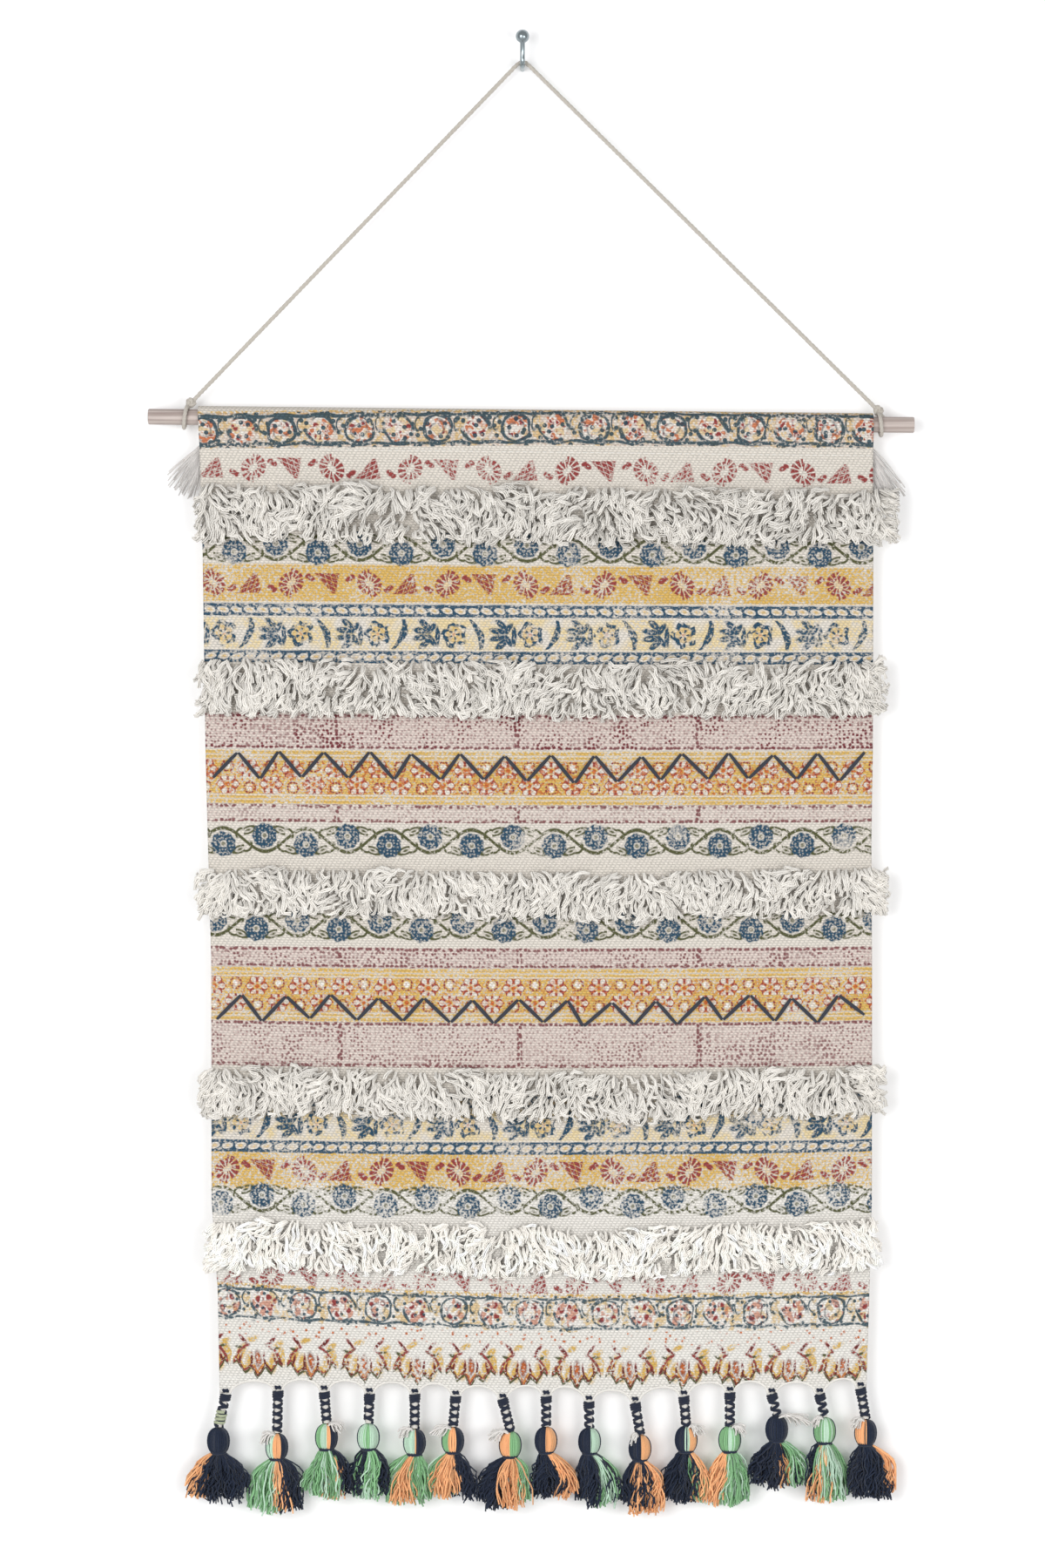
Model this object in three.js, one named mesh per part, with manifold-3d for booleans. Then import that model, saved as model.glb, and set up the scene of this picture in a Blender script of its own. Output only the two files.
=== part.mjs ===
// Textile wall hanging: a block-printed cotton panel with five shag rows and fifteen tassels, folded over
// a wooden rod and hung by a cotton cord from a ball-tipped wall hook.
// Millimetres, +Z up, the front towards -Y. The origin is the middle of the hook's flat end at the wall.
import * as THREE from "three";
import { mergeVertices } from "three/addons/utils/BufferGeometryUtils.js";
import Module from "manifold-3d";

const wasm = await Module();
wasm.setup();
const { lerp, clamp, smoothstep } = THREE.MathUtils;

// Wall hook: round wire, out from the wall, bent up, with a ball on its tip
const HOOK = { wire: 4.3, reach: 20, bend: 6, rise: 25.6, ball: 12 };

// Rod: its middle, and how much lower its right end hangs than its left
const ROD = { diameter: 14, length: 682, x: 7.75, y: -16, z: -316, drop: 7.4 };

// Cord: over the hook and down to the two knots on the rod
const CORD = { diameter: 4, seatY: -10, seatGap: 0.35, turn: 8 };
const LOOPS = [
  { name: "cord_loop_left", x: -300, knotX: -295.5, knotRise: 12.5, lean: 0.16 },
  { name: "cord_loop_right", x: 318.5, knotX: 316.8, knotRise: 12.5, lean: -0.1 },
];
const LOOP = { radius: 10, wire: 4.2, knot: 4.6, gap: 0.4 };

// Cloth: thickness, room round the rod, gap between its folded layers, seam and flap end below the rod
const CLOTH = { thickness: 2.6, rodGap: 0.4, layerGap: 0.4, seam: 27, flap: 30, rows: 14, turns: 12 };

// Side edges of the cloth, by height
const EDGES = [
  { z: -306, left: -288.5, right: 312 },
  { z: -440, left: -284.5, right: 312.2 },
  { z: -608, left: -282, right: 311.8 },
  { z: -690, left: -280, right: 310.4 },
  { z: -795, left: -277, right: 310.8 },
  { z: -1010, left: -276.5, right: 310.8 },
  { z: -1090, left: -271, right: 308.8 },
  { z: -1180, left: -269.5, right: 306 },
];

// Soft billows of the hanging cloth: middle, half width and height, and how far each stands out
const BILLOWS = [
  { x: -230, z: -560, wide: 130, tall: 150, out: 2.4 },
  { x: 110, z: -660, wide: 170, tall: 140, out: -2.2 },
  { x: 290, z: -840, wide: 120, tall: 190, out: 3.2 },
  { x: -110, z: -900, wide: 180, tall: 150, out: 1.8 },
  { x: 160, z: -1080, wide: 150, tall: 120, out: -1.8 },
  { x: -270, z: -1060, wide: 120, tall: 140, out: 2.6 },
];

// Shag rows: outer size, with the loose ends
const SHAGS = [
  { name: "shag_row_1", top: -373, bottom: -432, left: -294, right: 336 },
  { name: "shag_row_2", top: -528, bottom: -583, left: -293, right: 326 },
  { name: "shag_row_3", top: -714, bottom: -760, left: -292, right: 327 },
  { name: "shag_row_4", top: -891, bottom: -938, left: -290, right: 325 },
  { name: "shag_row_5", top: -1028, bottom: -1077, left: -284, right: 324 },
];
const SHAG = { gap: 0.6, thick: 16, columns: 18, rows: 3, locks: 12, lock: 3.2, loose: 10 };

// Tassels: stem's root at the hem, middle of the head, sides and tip of the skirt
const TASSELS = [
  { rootX: -264.3, rootZ: -1181.9, headX: -270.5, headZ: -1223.7, left: -298, right: -245, tip: -1281.9 },
  { rootX: -217.8, rootZ: -1179.6, headX: -218.6, headZ: -1229.2, left: -243, right: -197.5, tip: -1291.2 },
  { rootX: -176.7, rootZ: -1179.6, headX: -174.4, headZ: -1220.6, left: -195.5, right: -153.5, tip: -1280.3 },
  { rootX: -136.4, rootZ: -1181.9, headX: -137.2, headZ: -1220.6, left: -151.5, right: -121, tip: -1278.8 },
  { rootX: -96.1, rootZ: -1182.7, headX: -96.1, headZ: -1225.3, left: -119, right: -84, tip: -1283.4 },
  { rootX: -59.7, rootZ: -1184.2, headX: -62, headZ: -1223.7, left: -82, right: -42.5, tip: -1280.3 },
  { rootX: -17.8, rootZ: -1186.5, headX: -10.9, headZ: -1227.6, left: -40.5, right: 7, tip: -1287.3 },
  { rootX: 20.9, rootZ: -1184.2, headX: 20.9, headZ: -1223.7, left: 9, right: 48, tip: -1280.3 },
  { rootX: 58.9, rootZ: -1188.9, headX: 59.7, headZ: -1224.5, left: 50, right: 90, tip: -1287.3 },
  { rootX: 100, rootZ: -1189.6, headX: 104.6, headZ: -1230.7, left: 92, right: 124, tip: -1292.7 },
  { rootX: 143.4, rootZ: -1184.2, headX: 145.7, headZ: -1223, left: 126, right: 166, tip: -1284.2 },
  { rootX: 184.5, rootZ: -1181.1, headX: 184.5, headZ: -1223, left: 168, right: 199, tip: -1286.5 },
  { rootX: 221.7, rootZ: -1181.9, headX: 226.3, headZ: -1213.7, left: 201, right: 252, tip: -1270.2 },
  { rootX: 264.3, rootZ: -1181.9, headX: 268.9, headZ: -1215.2, left: 254, right: 289, tip: -1283.4 },
  { rootX: 300.7, rootZ: -1176.5, headX: 305.4, headZ: -1216.8, left: 291, right: 330, tip: -1278.8 },
];
const STEM = { radius: 4, ridge: 0.5, twist: 9, rootGap: 0.75, footGap: 0.35 };
const HEAD = { radius: 9.6, rise: 12.4, neck: 6, tie: 7.2, tieHeight: 3 };
const SKIRT = { front: 4, back: 2, depth: 7.5, lock: 4.2, perWidth: 0.105, spread: 5.4 };

// Scallops between the stems' roots, and the warp ends under the pocket's flap
const SCALLOP = { height: 11, flat: 3.5 };
const FRINGE = { strip: 3, length: 40, strand: 1.1, fan: 4, inner: 14, reach: 29 };

const material = (color, roughness, metalness = 0) =>
  new THREE.MeshStandardMaterial({ color, roughness, metalness });
const STEEL = material(0x9aa6ac, 0.25, 1);
const WOOD = material(0xcdbcb0, 0.6);
const COTTON = material(0xded6cc, 0.9);
const PRINT = material(0xdcc79a, 0.9);
const NAVY = material(0x232a3a, 0.9);
const GREEN = material(0x86bd8c, 0.9);

const part = new THREE.Group();
part.name = "textile_wall_hanging";

// A closed solid from a geometry: only its points and its true triangles
function solid(geometry) {
  const bare = new THREE.BufferGeometry();
  bare.setAttribute("position", geometry.getAttribute("position"));
  bare.setIndex(geometry.index);
  const merged = mergeVertices(bare, 1e-4);
  const triangles = [];
  const at = merged.index.array;
  for (let k = 0; k < at.length; k += 3) {
    const [a, b, c] = at.slice(k, k + 3);
    if (a !== b && b !== c && c !== a) {
      triangles.push(a, b, c);
    }
  }
  const vertProperties = Float32Array.from(merged.getAttribute("position").array);
  const triVerts = Uint32Array.from(triangles);
  return new wasm.Manifold(new wasm.Mesh({ numProp: 3, vertProperties, triVerts }));
}

// A named node from a solid
function add(name, body, look) {
  const { vertProperties, triVerts } = body.getMesh();
  const geometry = new THREE.BufferGeometry();
  geometry.setAttribute("position", new THREE.BufferAttribute(vertProperties, 3));
  geometry.setIndex(new THREE.BufferAttribute(triVerts, 1));
  geometry.computeVertexNormals();
  const node = new THREE.Mesh(geometry, look);
  node.name = name;
  part.add(node);
}

// Moves every point of a geometry to where the rule puts it
function reshape(geometry, rule) {
  const points = geometry.getAttribute("position");
  const point = new THREE.Vector3();
  for (let k = 0; k < points.count; k += 1) {
    point.fromBufferAttribute(points, k);
    points.setXYZ(k, ...rule(point).toArray());
  }
  return geometry;
}

// Even scatter from 0 to 1 for the uneven handwork
function scatter(n) {
  const wave = Math.sin(n * 12.9898 + 4.1) * 43758.5453;
  return wave - Math.floor(wave);
}

// A tapered strand along a curve, as thick as the rule says
function strand(curve, sides, steps, radiusAt) {
  const seen = new THREE.Vector3(0, -1, 0);
  return reshape(new THREE.CylinderGeometry(1, 1, 1, sides, steps), (p) => {
    const along = 0.5 - p.y;
    const heading = curve.getTangent(along);
    const side = new THREE.Vector3().crossVectors(seen, heading).normalize();
    const face = new THREE.Vector3().crossVectors(heading, side);
    const radius = radiusAt(along, Math.atan2(p.z, p.x));
    return curve.getPoint(along).addScaledVector(side, p.x * radius).addScaledVector(face, p.z * radius);
  });
}

// A round tube along a curve
function tube(curve, diameter, sides, steps) {
  const round = new THREE.Shape().absarc(0, 0, diameter / 2, 0, Math.PI * 2);
  return new THREE.ExtrudeGeometry(round, {
    steps,
    curveSegments: sides / 2,
    bevelEnabled: false,
    extrudePath: curve,
  });
}

// A path that gives each of its pieces the same number of steps
class Route extends THREE.CurvePath {
  getPoint(t) {
    const place = clamp(t, 0, 1 - 1e-9) * this.curves.length;
    const piece = Math.floor(place);
    return this.curves[piece].getPoint(place - piece);
  }

  getUtoTmapping(u) {
    return u;
  }
}

// The bow of a lock from its root to its tip, sagging or bulging by the given middle
const bow = (root, middle, tip) => new THREE.QuadraticBezierCurve3(root, middle, tip);

// Height of the rod's axis
const slope = ROD.drop / ROD.length;
const rodZ = (x) => ROD.z - slope * (x - ROD.x);

// Side edges at a height
function edgesAt(z) {
  let k = 1;
  while (k < EDGES.length - 1 && EDGES[k].z > z) {
    k += 1;
  }
  const [above, below] = [EDGES[k - 1], EDGES[k]];
  const t = clamp((z - above.z) / (below.z - above.z), 0, 1);
  return { left: lerp(above.left, below.left, t), right: lerp(above.right, below.right, t) };
}

// Share of the width at a place, and the place of a share
function shareOf(x, z) {
  const { left, right } = edgesAt(z);
  return (x - left) / (right - left);
}
function placeOf(share, z) {
  const { left, right } = edgesAt(z);
  return lerp(left, right, share);
}

// Column lines of the cloth: its edges and the stems' roots, with the hem's height on each
const first = TASSELS[0];
const last = TASSELS[TASSELS.length - 1];
const columns = [
  { share: 0, hem: first.rootZ },
  ...TASSELS.map(({ rootX, rootZ }) => ({ share: shareOf(rootX, rootZ), hem: rootZ })),
  { share: 1, hem: last.rootZ },
];
const meanHem = TASSELS.reduce((sum, { rootZ }) => sum + rootZ, 0) / TASSELS.length;

function hemAt(share) {
  let k = 1;
  while (k < columns.length - 1 && columns[k].share < share) {
    k += 1;
  }
  const [before, after] = [columns[k - 1], columns[k]];
  const t = clamp((share - before.share) / (after.share - before.share), 0, 1);
  return lerp(before.hem, after.hem, t);
}

// Height on the panel for a share of its width and of its fall from the seam to the hem
const seamZ = ROD.z - CLOTH.seam;
function panelZ(share, fall) {
  const tilt = rodZ(placeOf(share, ROD.z)) - ROD.z;
  return lerp(seamZ, meanHem, fall) + tilt * (1 - fall) ** 4 + (hemAt(share) - meanHem) * fall;
}

// Depth of the panel's middle layer
const layerOffset = (CLOTH.thickness + CLOTH.layerGap) / 2;
function panelY(x, z) {
  let out = 0;
  for (const billow of BILLOWS) {
    const aside = (x - billow.x) / billow.wide;
    const away = (z - billow.z) / billow.tall;
    out += billow.out * Math.exp(-(aside ** 2) - away ** 2);
  }
  return ROD.y - layerOffset - out * smoothstep(-z, 390, 480);
}

// The sheet's section over the rod, from the seam up its front, round it and down to the flap's end:
// offset from the rod's axis and the direction that faces away from the rod
const wrap = ROD.diameter / 2 + CLOTH.rodGap + CLOTH.thickness / 2;
function leaveAngle() {
  let angle = 0;
  for (let step = 0; step < 40; step += 1) {
    const reach = wrap * Math.cos(angle) - layerOffset;
    angle = Math.atan2(reach, CLOTH.seam - wrap * Math.sin(angle));
  }
  return angle;
}
const leave = leaveAngle();
const pocket = [];
for (let k = 0; k <= CLOTH.turns; k += 1) {
  const angle = lerp(Math.PI + leave, -leave, k / CLOTH.turns);
  const out = new THREE.Vector3(0, Math.cos(angle), Math.sin(angle));
  pocket.push({ offset: out.clone().multiplyScalar(wrap), out });
}
pocket.push({ offset: new THREE.Vector3(0, layerOffset, -CLOTH.seam), out: new THREE.Vector3(0, 1, 0) });
pocket.push({ offset: new THREE.Vector3(0, layerOffset, -CLOTH.flap), out: new THREE.Vector3(0, 1, 0) });

// A point of the sheet: column line, row counted up from the hem, and through its thickness
function sheetPoint(column, row, through) {
  const { share } = columns[column];
  if (row <= CLOTH.rows) {
    const z = panelZ(share, 1 - row / CLOTH.rows);
    const x = placeOf(share, z);
    return new THREE.Vector3(x, panelY(x, z) + through * CLOTH.thickness, z);
  }
  const { offset, out } = pocket[row - CLOTH.rows - 1];
  const x = placeOf(share, ROD.z);
  const middle = new THREE.Vector3(x, ROD.y, rodZ(x)).add(offset);
  return middle.addScaledVector(out, -through * CLOTH.thickness);
}

function cloth() {
  const across = columns.length - 1;
  const along = CLOTH.rows + pocket.length;
  const sheet = reshape(new THREE.BoxGeometry(1, 1, 1, across, 1, along), (p) =>
    sheetPoint(Math.round((p.x + 0.5) * across), Math.round((p.z + 0.5) * along), p.y));
  let body = solid(sheet);
  for (let k = 1; k < TASSELS.length; k += 1) {
    const [a, b] = [TASSELS[k - 1], TASSELS[k]];
    const halfWidth = (b.rootX - a.rootX) / 2 - SCALLOP.flat;
    const bite = new THREE.CylinderGeometry(1, 1, 40, 14);
    bite.scale(halfWidth, 1, SCALLOP.height);
    bite.translate((a.rootX + b.rootX) / 2, ROD.y, (a.rootZ + b.rootZ) / 2);
    body = body.subtract(solid(bite));
  }
  return body;
}

function hook() {
  const corner = new THREE.Vector3(0, -HOOK.reach, 0);
  const path = new THREE.CurvePath();
  const beforeBend = new THREE.Vector3(0, HOOK.bend - HOOK.reach, 0);
  const afterBend = new THREE.Vector3(0, -HOOK.reach, HOOK.bend);
  path.add(new THREE.LineCurve3(new THREE.Vector3(), beforeBend));
  path.add(bow(beforeBend, corner, afterBend));
  path.add(new THREE.LineCurve3(afterBend, new THREE.Vector3(0, -HOOK.reach, HOOK.rise)));
  const ball = new THREE.SphereGeometry(HOOK.ball / 2, 12, 8);
  ball.translate(0, -HOOK.reach, HOOK.rise);
  return solid(tube(path, HOOK.wire, 12, 12)).add(solid(ball));
}

function rod() {
  const stick = new THREE.CylinderGeometry(ROD.diameter / 2, ROD.diameter / 2, ROD.length, 24);
  stick.rotateZ(Math.PI / 2);
  stick.rotateY(Math.atan(slope));
  stick.translate(ROD.x, ROD.y, ROD.z);
  return solid(stick);
}

// Middle of a loop's knot
const knotOf = ({ knotX, knotRise }) => new THREE.Vector3(knotX, ROD.y, rodZ(knotX) + knotRise);

function loop(row) {
  const ring = new THREE.TorusGeometry(LOOP.radius, LOOP.wire / 2, 6, 14);
  ring.rotateY(Math.PI / 2 + row.lean);
  ring.translate(row.x, ROD.y, rodZ(row.x));
  const knot = new THREE.SphereGeometry(LOOP.knot, 8, 6);
  knot.translate(...knotOf(row).toArray());
  return solid(ring).add(solid(knot));
}

function cord() {
  const over = HOOK.wire / 2 + CORD.seatGap + CORD.diameter / 2;
  const crest = new THREE.Vector3(0, CORD.seatY, over + CORD.turn * 0.35);
  const legs = LOOPS.map((row) => {
    const knot = knotOf(row);
    const up = new THREE.Vector3().subVectors(crest, knot).normalize();
    const end = knot.addScaledVector(up, LOOP.knot + LOOP.gap);
    return { end, bend: crest.clone().addScaledVector(up, -CORD.turn) };
  });
  const path = new Route();
  path.add(new THREE.LineCurve3(legs[0].end, legs[0].bend));
  path.add(bow(legs[0].bend, crest, legs[1].bend));
  path.add(new THREE.LineCurve3(legs[1].bend, legs[1].end));
  return solid(tube(path, CORD.diameter, 8, 48));
}

// Warp ends: a narrow strip under the flap and strands that fan out at both sides
function fringe() {
  const { left, right } = edgesAt(ROD.z);
  const topZ = (x) => rodZ(x) - CLOTH.flap - 0.3;
  const y = ROD.y + layerOffset;
  const strip = reshape(new THREE.BoxGeometry(1, 1, 1), (p) => {
    const x = lerp(left, right, p.x + 0.5);
    return new THREE.Vector3(x, y + p.y * 2, topZ(x) + (p.z - 0.5) * FRINGE.strip);
  });
  let body = solid(strip);
  const count = FRINGE.inner + 2 * FRINGE.fan;
  for (let k = 0; k < count; k += 1) {
    const fromEnd = Math.min(k, count - 1 - k);
    const x = lerp(left + 3, right - 3, k / (count - 1));
    const outward = k < count / 2 ? -1 : 1;
    const fanned = Math.max(0, FRINGE.fan - fromEnd) / FRINGE.fan;
    const rootX = x + outward * fanned * fromEnd * 11;
    const lean = outward * FRINGE.reach * fanned + (scatter(k) - 0.5) * 6;
    const root = new THREE.Vector3(rootX, y, topZ(rootX) - 1);
    const fall = FRINGE.length - fanned * 6 + scatter(k + 50) * 5;
    const tip = new THREE.Vector3(rootX + lean, y + 1.5, root.z - fall);
    const middle = new THREE.Vector3(lerp(root.x, tip.x, 0.35), y + 0.5, lerp(root.z, tip.z, 0.5));
    const thin = (t) => FRINGE.strand * (1 - 0.4 * t);
    body = body.add(solid(strand(bow(root, middle, tip), 3, 2, thin)));
  }
  return body;
}

// A shag row: a lumpy slab on the cloth's front, with locks along its lower rim and at its ends
function shag(row, seed) {
  const top = row.top;
  const bottom = row.bottom + SHAG.loose;
  const left = row.left + SHAG.loose;
  const right = row.right - SHAG.loose;
  const fallOf = (z) => (seamZ - z) / (seamZ - meanHem);
  const frontOf = (x, z) => panelY(x, z) - CLOTH.thickness / 2 - SHAG.gap;
  const heightOf = (x, z) => panelZ(shareOf(x, z), fallOf(z));
  const slab = reshape(new THREE.BoxGeometry(1, 1, 1, SHAG.columns, 1, SHAG.rows), (p) => {
    const column = Math.round((p.x + 0.5) * SHAG.columns);
    const level = Math.round((0.5 - p.z) * SHAG.rows);
    const uneven = scatter(seed * 31 + column * 7 + level * 3);
    const rim = level === 0 ? 3 : 4;
    const z0 = lerp(top, bottom, level / SHAG.rows) + (uneven - 0.5) * rim;
    const end = Math.abs(p.x) > 0.49 ? (uneven - 0.5) * 5 : 0;
    const x = lerp(left, right, p.x + 0.5) + end;
    const z = heightOf(x, z0);
    const swell = [0.45, 0.9, 1, 0.65][level] * (Math.abs(p.x) > 0.49 ? 0.65 : 1);
    const thick = SHAG.thick * swell * (0.8 + 0.35 * scatter(seed + column * 5 + level * 17));
    return new THREE.Vector3(x, frontOf(x, z) - (p.y < 0 ? thick : 0), z);
  });
  let body = solid(slab);
  const lock = (x, z0, aside, down, n) => {
    const z = heightOf(x, z0);
    const y = frontOf(x, z) - SHAG.thick * 0.42;
    const root = new THREE.Vector3(x, y, z);
    const tip = new THREE.Vector3(x + aside, y - 2 + scatter(n) * 3, z - down);
    const middle = new THREE.Vector3(x + aside * 0.4, y - 3, z - down * 0.4);
    const thin = (t) => SHAG.lock * (1 - 0.55 * t);
    body = body.add(solid(strand(bow(root, middle, tip), 3, 2, thin)));
  };
  for (let k = 0; k < SHAG.locks; k += 1) {
    const n = seed * 97 + k;
    const x = lerp(left + 8, right - 8, (k + 0.3 + 0.4 * scatter(n)) / SHAG.locks);
    lock(x, bottom + 6, (scatter(n + 7) - 0.5) * 14, SHAG.loose + 2 + scatter(n + 3) * 5, n);
  }
  for (let k = 0; k < 3; k += 1) {
    const n = seed * 53 + k;
    const z0 = lerp(top, bottom, 0.3 + 0.28 * k);
    lock(left + 6, z0, -SHAG.loose - 5, 4 + 4 * k + scatter(n) * 3, n);
    lock(right - 6, z0, SHAG.loose + 5, 3 + 5 * k + scatter(n + 9) * 3, n + 5);
  }
  return body;
}

// Where a tassel hangs in depth: under the hem's middle layer
const hangY = (row) => panelY(row.rootX, row.rootZ);

// A stem: a wrapped bunch from the hem's point to the tassel's head, its wraps a raised spiral
function stem(row) {
  const slant = Math.abs(row.headX - row.rootX) / (row.rootZ - row.headZ);
  const gap = STEM.rootGap + SCALLOP.flat * slant;
  const root = new THREE.Vector3(row.rootX, hangY(row), row.rootZ - gap);
  const foot = new THREE.Vector3(row.headX, hangY(row), row.headZ + HEAD.rise + STEM.footGap);
  const line = new THREE.LineCurve3(root, foot);
  const turns = (Math.PI * 2 * root.distanceTo(foot)) / STEM.twist;
  const wrapped = (t, angle) => STEM.radius + STEM.ridge * Math.cos(angle - turns * t);
  return solid(strand(line, 6, 7, wrapped));
}

// A tassel: its head and tie, and a skirt of locks that stand apart below the tie
function tassel(row, seed) {
  const y = hangY(row);
  const tieZ = -HEAD.rise;
  const profile = [
    [0, tieZ - HEAD.tieHeight],
    [HEAD.neck, tieZ - HEAD.tieHeight],
    [HEAD.tie, tieZ - HEAD.tieHeight * 0.7],
    [HEAD.tie, tieZ],
    [HEAD.neck + 0.6, tieZ + 1],
    [HEAD.radius, -HEAD.rise * 0.25],
    [HEAD.radius * 0.92, HEAD.rise * 0.4],
    [HEAD.radius * 0.5, HEAD.rise * 0.92],
    [0, HEAD.rise],
  ];
  const head = new THREE.LatheGeometry(profile.map(([r, z]) => new THREE.Vector2(r, z)), 6);
  head.rotateX(Math.PI / 2);
  head.translate(row.headX, y, row.headZ);
  let body = solid(head);
  const thick = Math.min(SKIRT.lock, (row.right - row.left) * SKIRT.perWidth);
  const rows = [
    { count: SKIRT.front, depth: -1 },
    { count: SKIRT.back, depth: 1 },
  ];
  for (const { count, depth } of rows) {
    for (let k = 0; k < count; k += 1) {
      const share = k / (count - 1);
      const n = seed * 41 + k + (depth > 0 ? 20 : 0);
      const inset = thick + (depth > 0 ? 4 : 0.4);
      const rootX = row.headX + lerp(-SKIRT.spread, SKIRT.spread, share);
      const tipX = lerp(row.left + inset, row.right - inset, share);
      const rootZ = row.headZ + tieZ - HEAD.tieHeight + 2;
      const tipZ = row.tip + scatter(n) * 7;
      const root = new THREE.Vector3(rootX, y + depth * 3, rootZ);
      const middle = new THREE.Vector3(lerp(rootX, tipX, 0.6), y + depth * SKIRT.depth, lerp(rootZ, tipZ, 0.4));
      const tip = new THREE.Vector3(tipX, y + depth * SKIRT.depth, tipZ);
      const full = (t) => thick * (0.5 + 1.5 * t - 1.25 * t * t);
      body = body.add(solid(strand(bow(root, middle, tip), 3, 2, full)));
    }
  }
  return body;
}

add("wall_hook", hook(), STEEL);
add("hanging_cord", cord(), COTTON);
LOOPS.forEach((row) => add(row.name, loop(row), COTTON));
add("rod", rod(), WOOD);
add("cloth", cloth(), PRINT);
add("pocket_fringe", fringe(), COTTON);
SHAGS.forEach((row, k) => add(row.name, shag(row, k + 1), COTTON));
TASSELS.forEach((row, k) => {
  const number = String(k + 1).padStart(2, "0");
  add(`stem_${number}`, stem(row), NAVY);
  add(`tassel_${number}`, tassel(row, k + 1), k % 2 ? GREEN : NAVY);
});

export default part;
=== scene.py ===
# %% [markdown]
# # A block-printed wall hanging
# The part is a coarse cotton panel with printed borders, rows of shag and a row of tassels.
# It is folded over a wooden rod and hangs by a cord from a small wall hook.
# The solids are already made: they are the frame, and each step below lays a detailed piece over one of them.
# All lengths are written in millimetres, in the frame's own axes: the printed face looks towards -Y.

import math

import bpy
import numpy as np
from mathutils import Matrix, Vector


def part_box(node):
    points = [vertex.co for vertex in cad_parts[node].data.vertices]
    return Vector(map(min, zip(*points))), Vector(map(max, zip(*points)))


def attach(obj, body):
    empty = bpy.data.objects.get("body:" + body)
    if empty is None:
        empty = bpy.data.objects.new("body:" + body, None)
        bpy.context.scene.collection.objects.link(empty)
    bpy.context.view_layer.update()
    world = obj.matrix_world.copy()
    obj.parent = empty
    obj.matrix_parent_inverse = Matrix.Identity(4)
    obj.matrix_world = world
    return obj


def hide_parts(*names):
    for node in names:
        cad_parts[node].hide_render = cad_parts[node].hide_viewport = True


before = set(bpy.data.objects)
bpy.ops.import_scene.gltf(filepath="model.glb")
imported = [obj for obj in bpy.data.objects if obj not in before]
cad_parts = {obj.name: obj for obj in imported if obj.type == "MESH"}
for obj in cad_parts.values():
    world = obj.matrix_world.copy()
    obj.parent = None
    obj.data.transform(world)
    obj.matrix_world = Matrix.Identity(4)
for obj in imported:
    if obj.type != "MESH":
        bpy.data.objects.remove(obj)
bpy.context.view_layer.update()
MM = 0.001
print("nodes in the frame:", len(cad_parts))

# %% [markdown]
# ## Camera
# The photograph is taken straight from the front, so the camera looks along +Y at the middle of the picture.
# One pixel of the photograph is 0.775 mm on the cloth, and a long lens keeps the edges parallel.

# %% Camera
PIXEL = 0.775
PICTURE_HEIGHT = 1800 * PIXEL
PICTURE_MIDDLE = -639.4
CLOTH_FRONT = -18.8
LENS = 85
SENSOR = 36


def linked(name, data):
    """A new object, put into the scene."""
    obj = bpy.data.objects.new(name, data)
    bpy.context.scene.collection.objects.link(obj)
    return obj


camera_data = bpy.data.cameras.new("camera")
camera_data.lens = LENS
camera_data.sensor_width = SENSOR
camera = linked("camera", camera_data)
distance = PICTURE_HEIGHT * LENS / SENSOR
camera.location = Vector((0, CLOTH_FRONT - distance, PICTURE_MIDDLE)) * MM
camera.rotation_euler = (math.pi / 2, 0, 0)
bpy.context.scene.camera = camera
print("camera distance in metres:", round(distance * MM, 3))

# %% [markdown]
# ## Yarn
# Nearly every piece here is yarn: the cord, the shag, the fringe, the stems and the tassels.
# So one Geometry Nodes tree does them all. It takes plain lines, reads how thick each point is,
# sweeps a small circle along every line and gives the result its material.
# The colour of each yarn rides along as an attribute, which the yarn's material reads: its dye, and on the
# shag painted shade as well.

# %% A tree that turns lines into yarn
def yarn_tree():
    tree = bpy.data.node_groups.new("yarn", "GeometryNodeTree")
    face = tree.interface
    face.new_socket("Geometry", in_out="INPUT", socket_type="NodeSocketGeometry")
    sides = face.new_socket("Sides", in_out="INPUT", socket_type="NodeSocketInt")
    look = face.new_socket("Material", in_out="INPUT", socket_type="NodeSocketMaterial")
    face.new_socket("Geometry", in_out="OUTPUT", socket_type="NodeSocketGeometry")
    sides.default_value = 4
    new, link = tree.nodes.new, tree.links.new
    start, end = new("NodeGroupInput"), new("NodeGroupOutput")
    curve = new("GeometryNodeMeshToCurve")
    thick = new("GeometryNodeInputNamedAttribute")
    thick.inputs["Name"].default_value = "thick"
    circle = new("GeometryNodeCurvePrimitiveCircle")
    circle.inputs["Radius"].default_value = 1
    sweep = new("GeometryNodeCurveToMesh")
    sweep.inputs["Fill Caps"].default_value = True
    smooth = new("GeometryNodeSetShadeSmooth")
    realize = new("GeometryNodeRealizeInstances")
    paint = new("GeometryNodeSetMaterial")
    link(start.outputs["Geometry"], curve.inputs[0])
    link(start.outputs["Sides"], circle.inputs["Resolution"])
    link(curve.outputs[0], sweep.inputs["Curve"])
    link(circle.outputs["Curve"], sweep.inputs["Profile Curve"])
    link(thick.outputs["Attribute"], sweep.inputs["Scale"])
    link(sweep.outputs[0], smooth.inputs[0])
    link(smooth.outputs[0], realize.inputs[0])
    link(realize.outputs[0], paint.inputs["Geometry"])
    link(start.outputs["Material"], paint.inputs["Material"])
    link(paint.outputs[0], end.inputs[0])
    return tree, sides.identifier, look.identifier


YARN, YARN_SIDES, YARN_LOOK = yarn_tree()
print("yarn tree:", len(YARN.nodes), "nodes")
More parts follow.
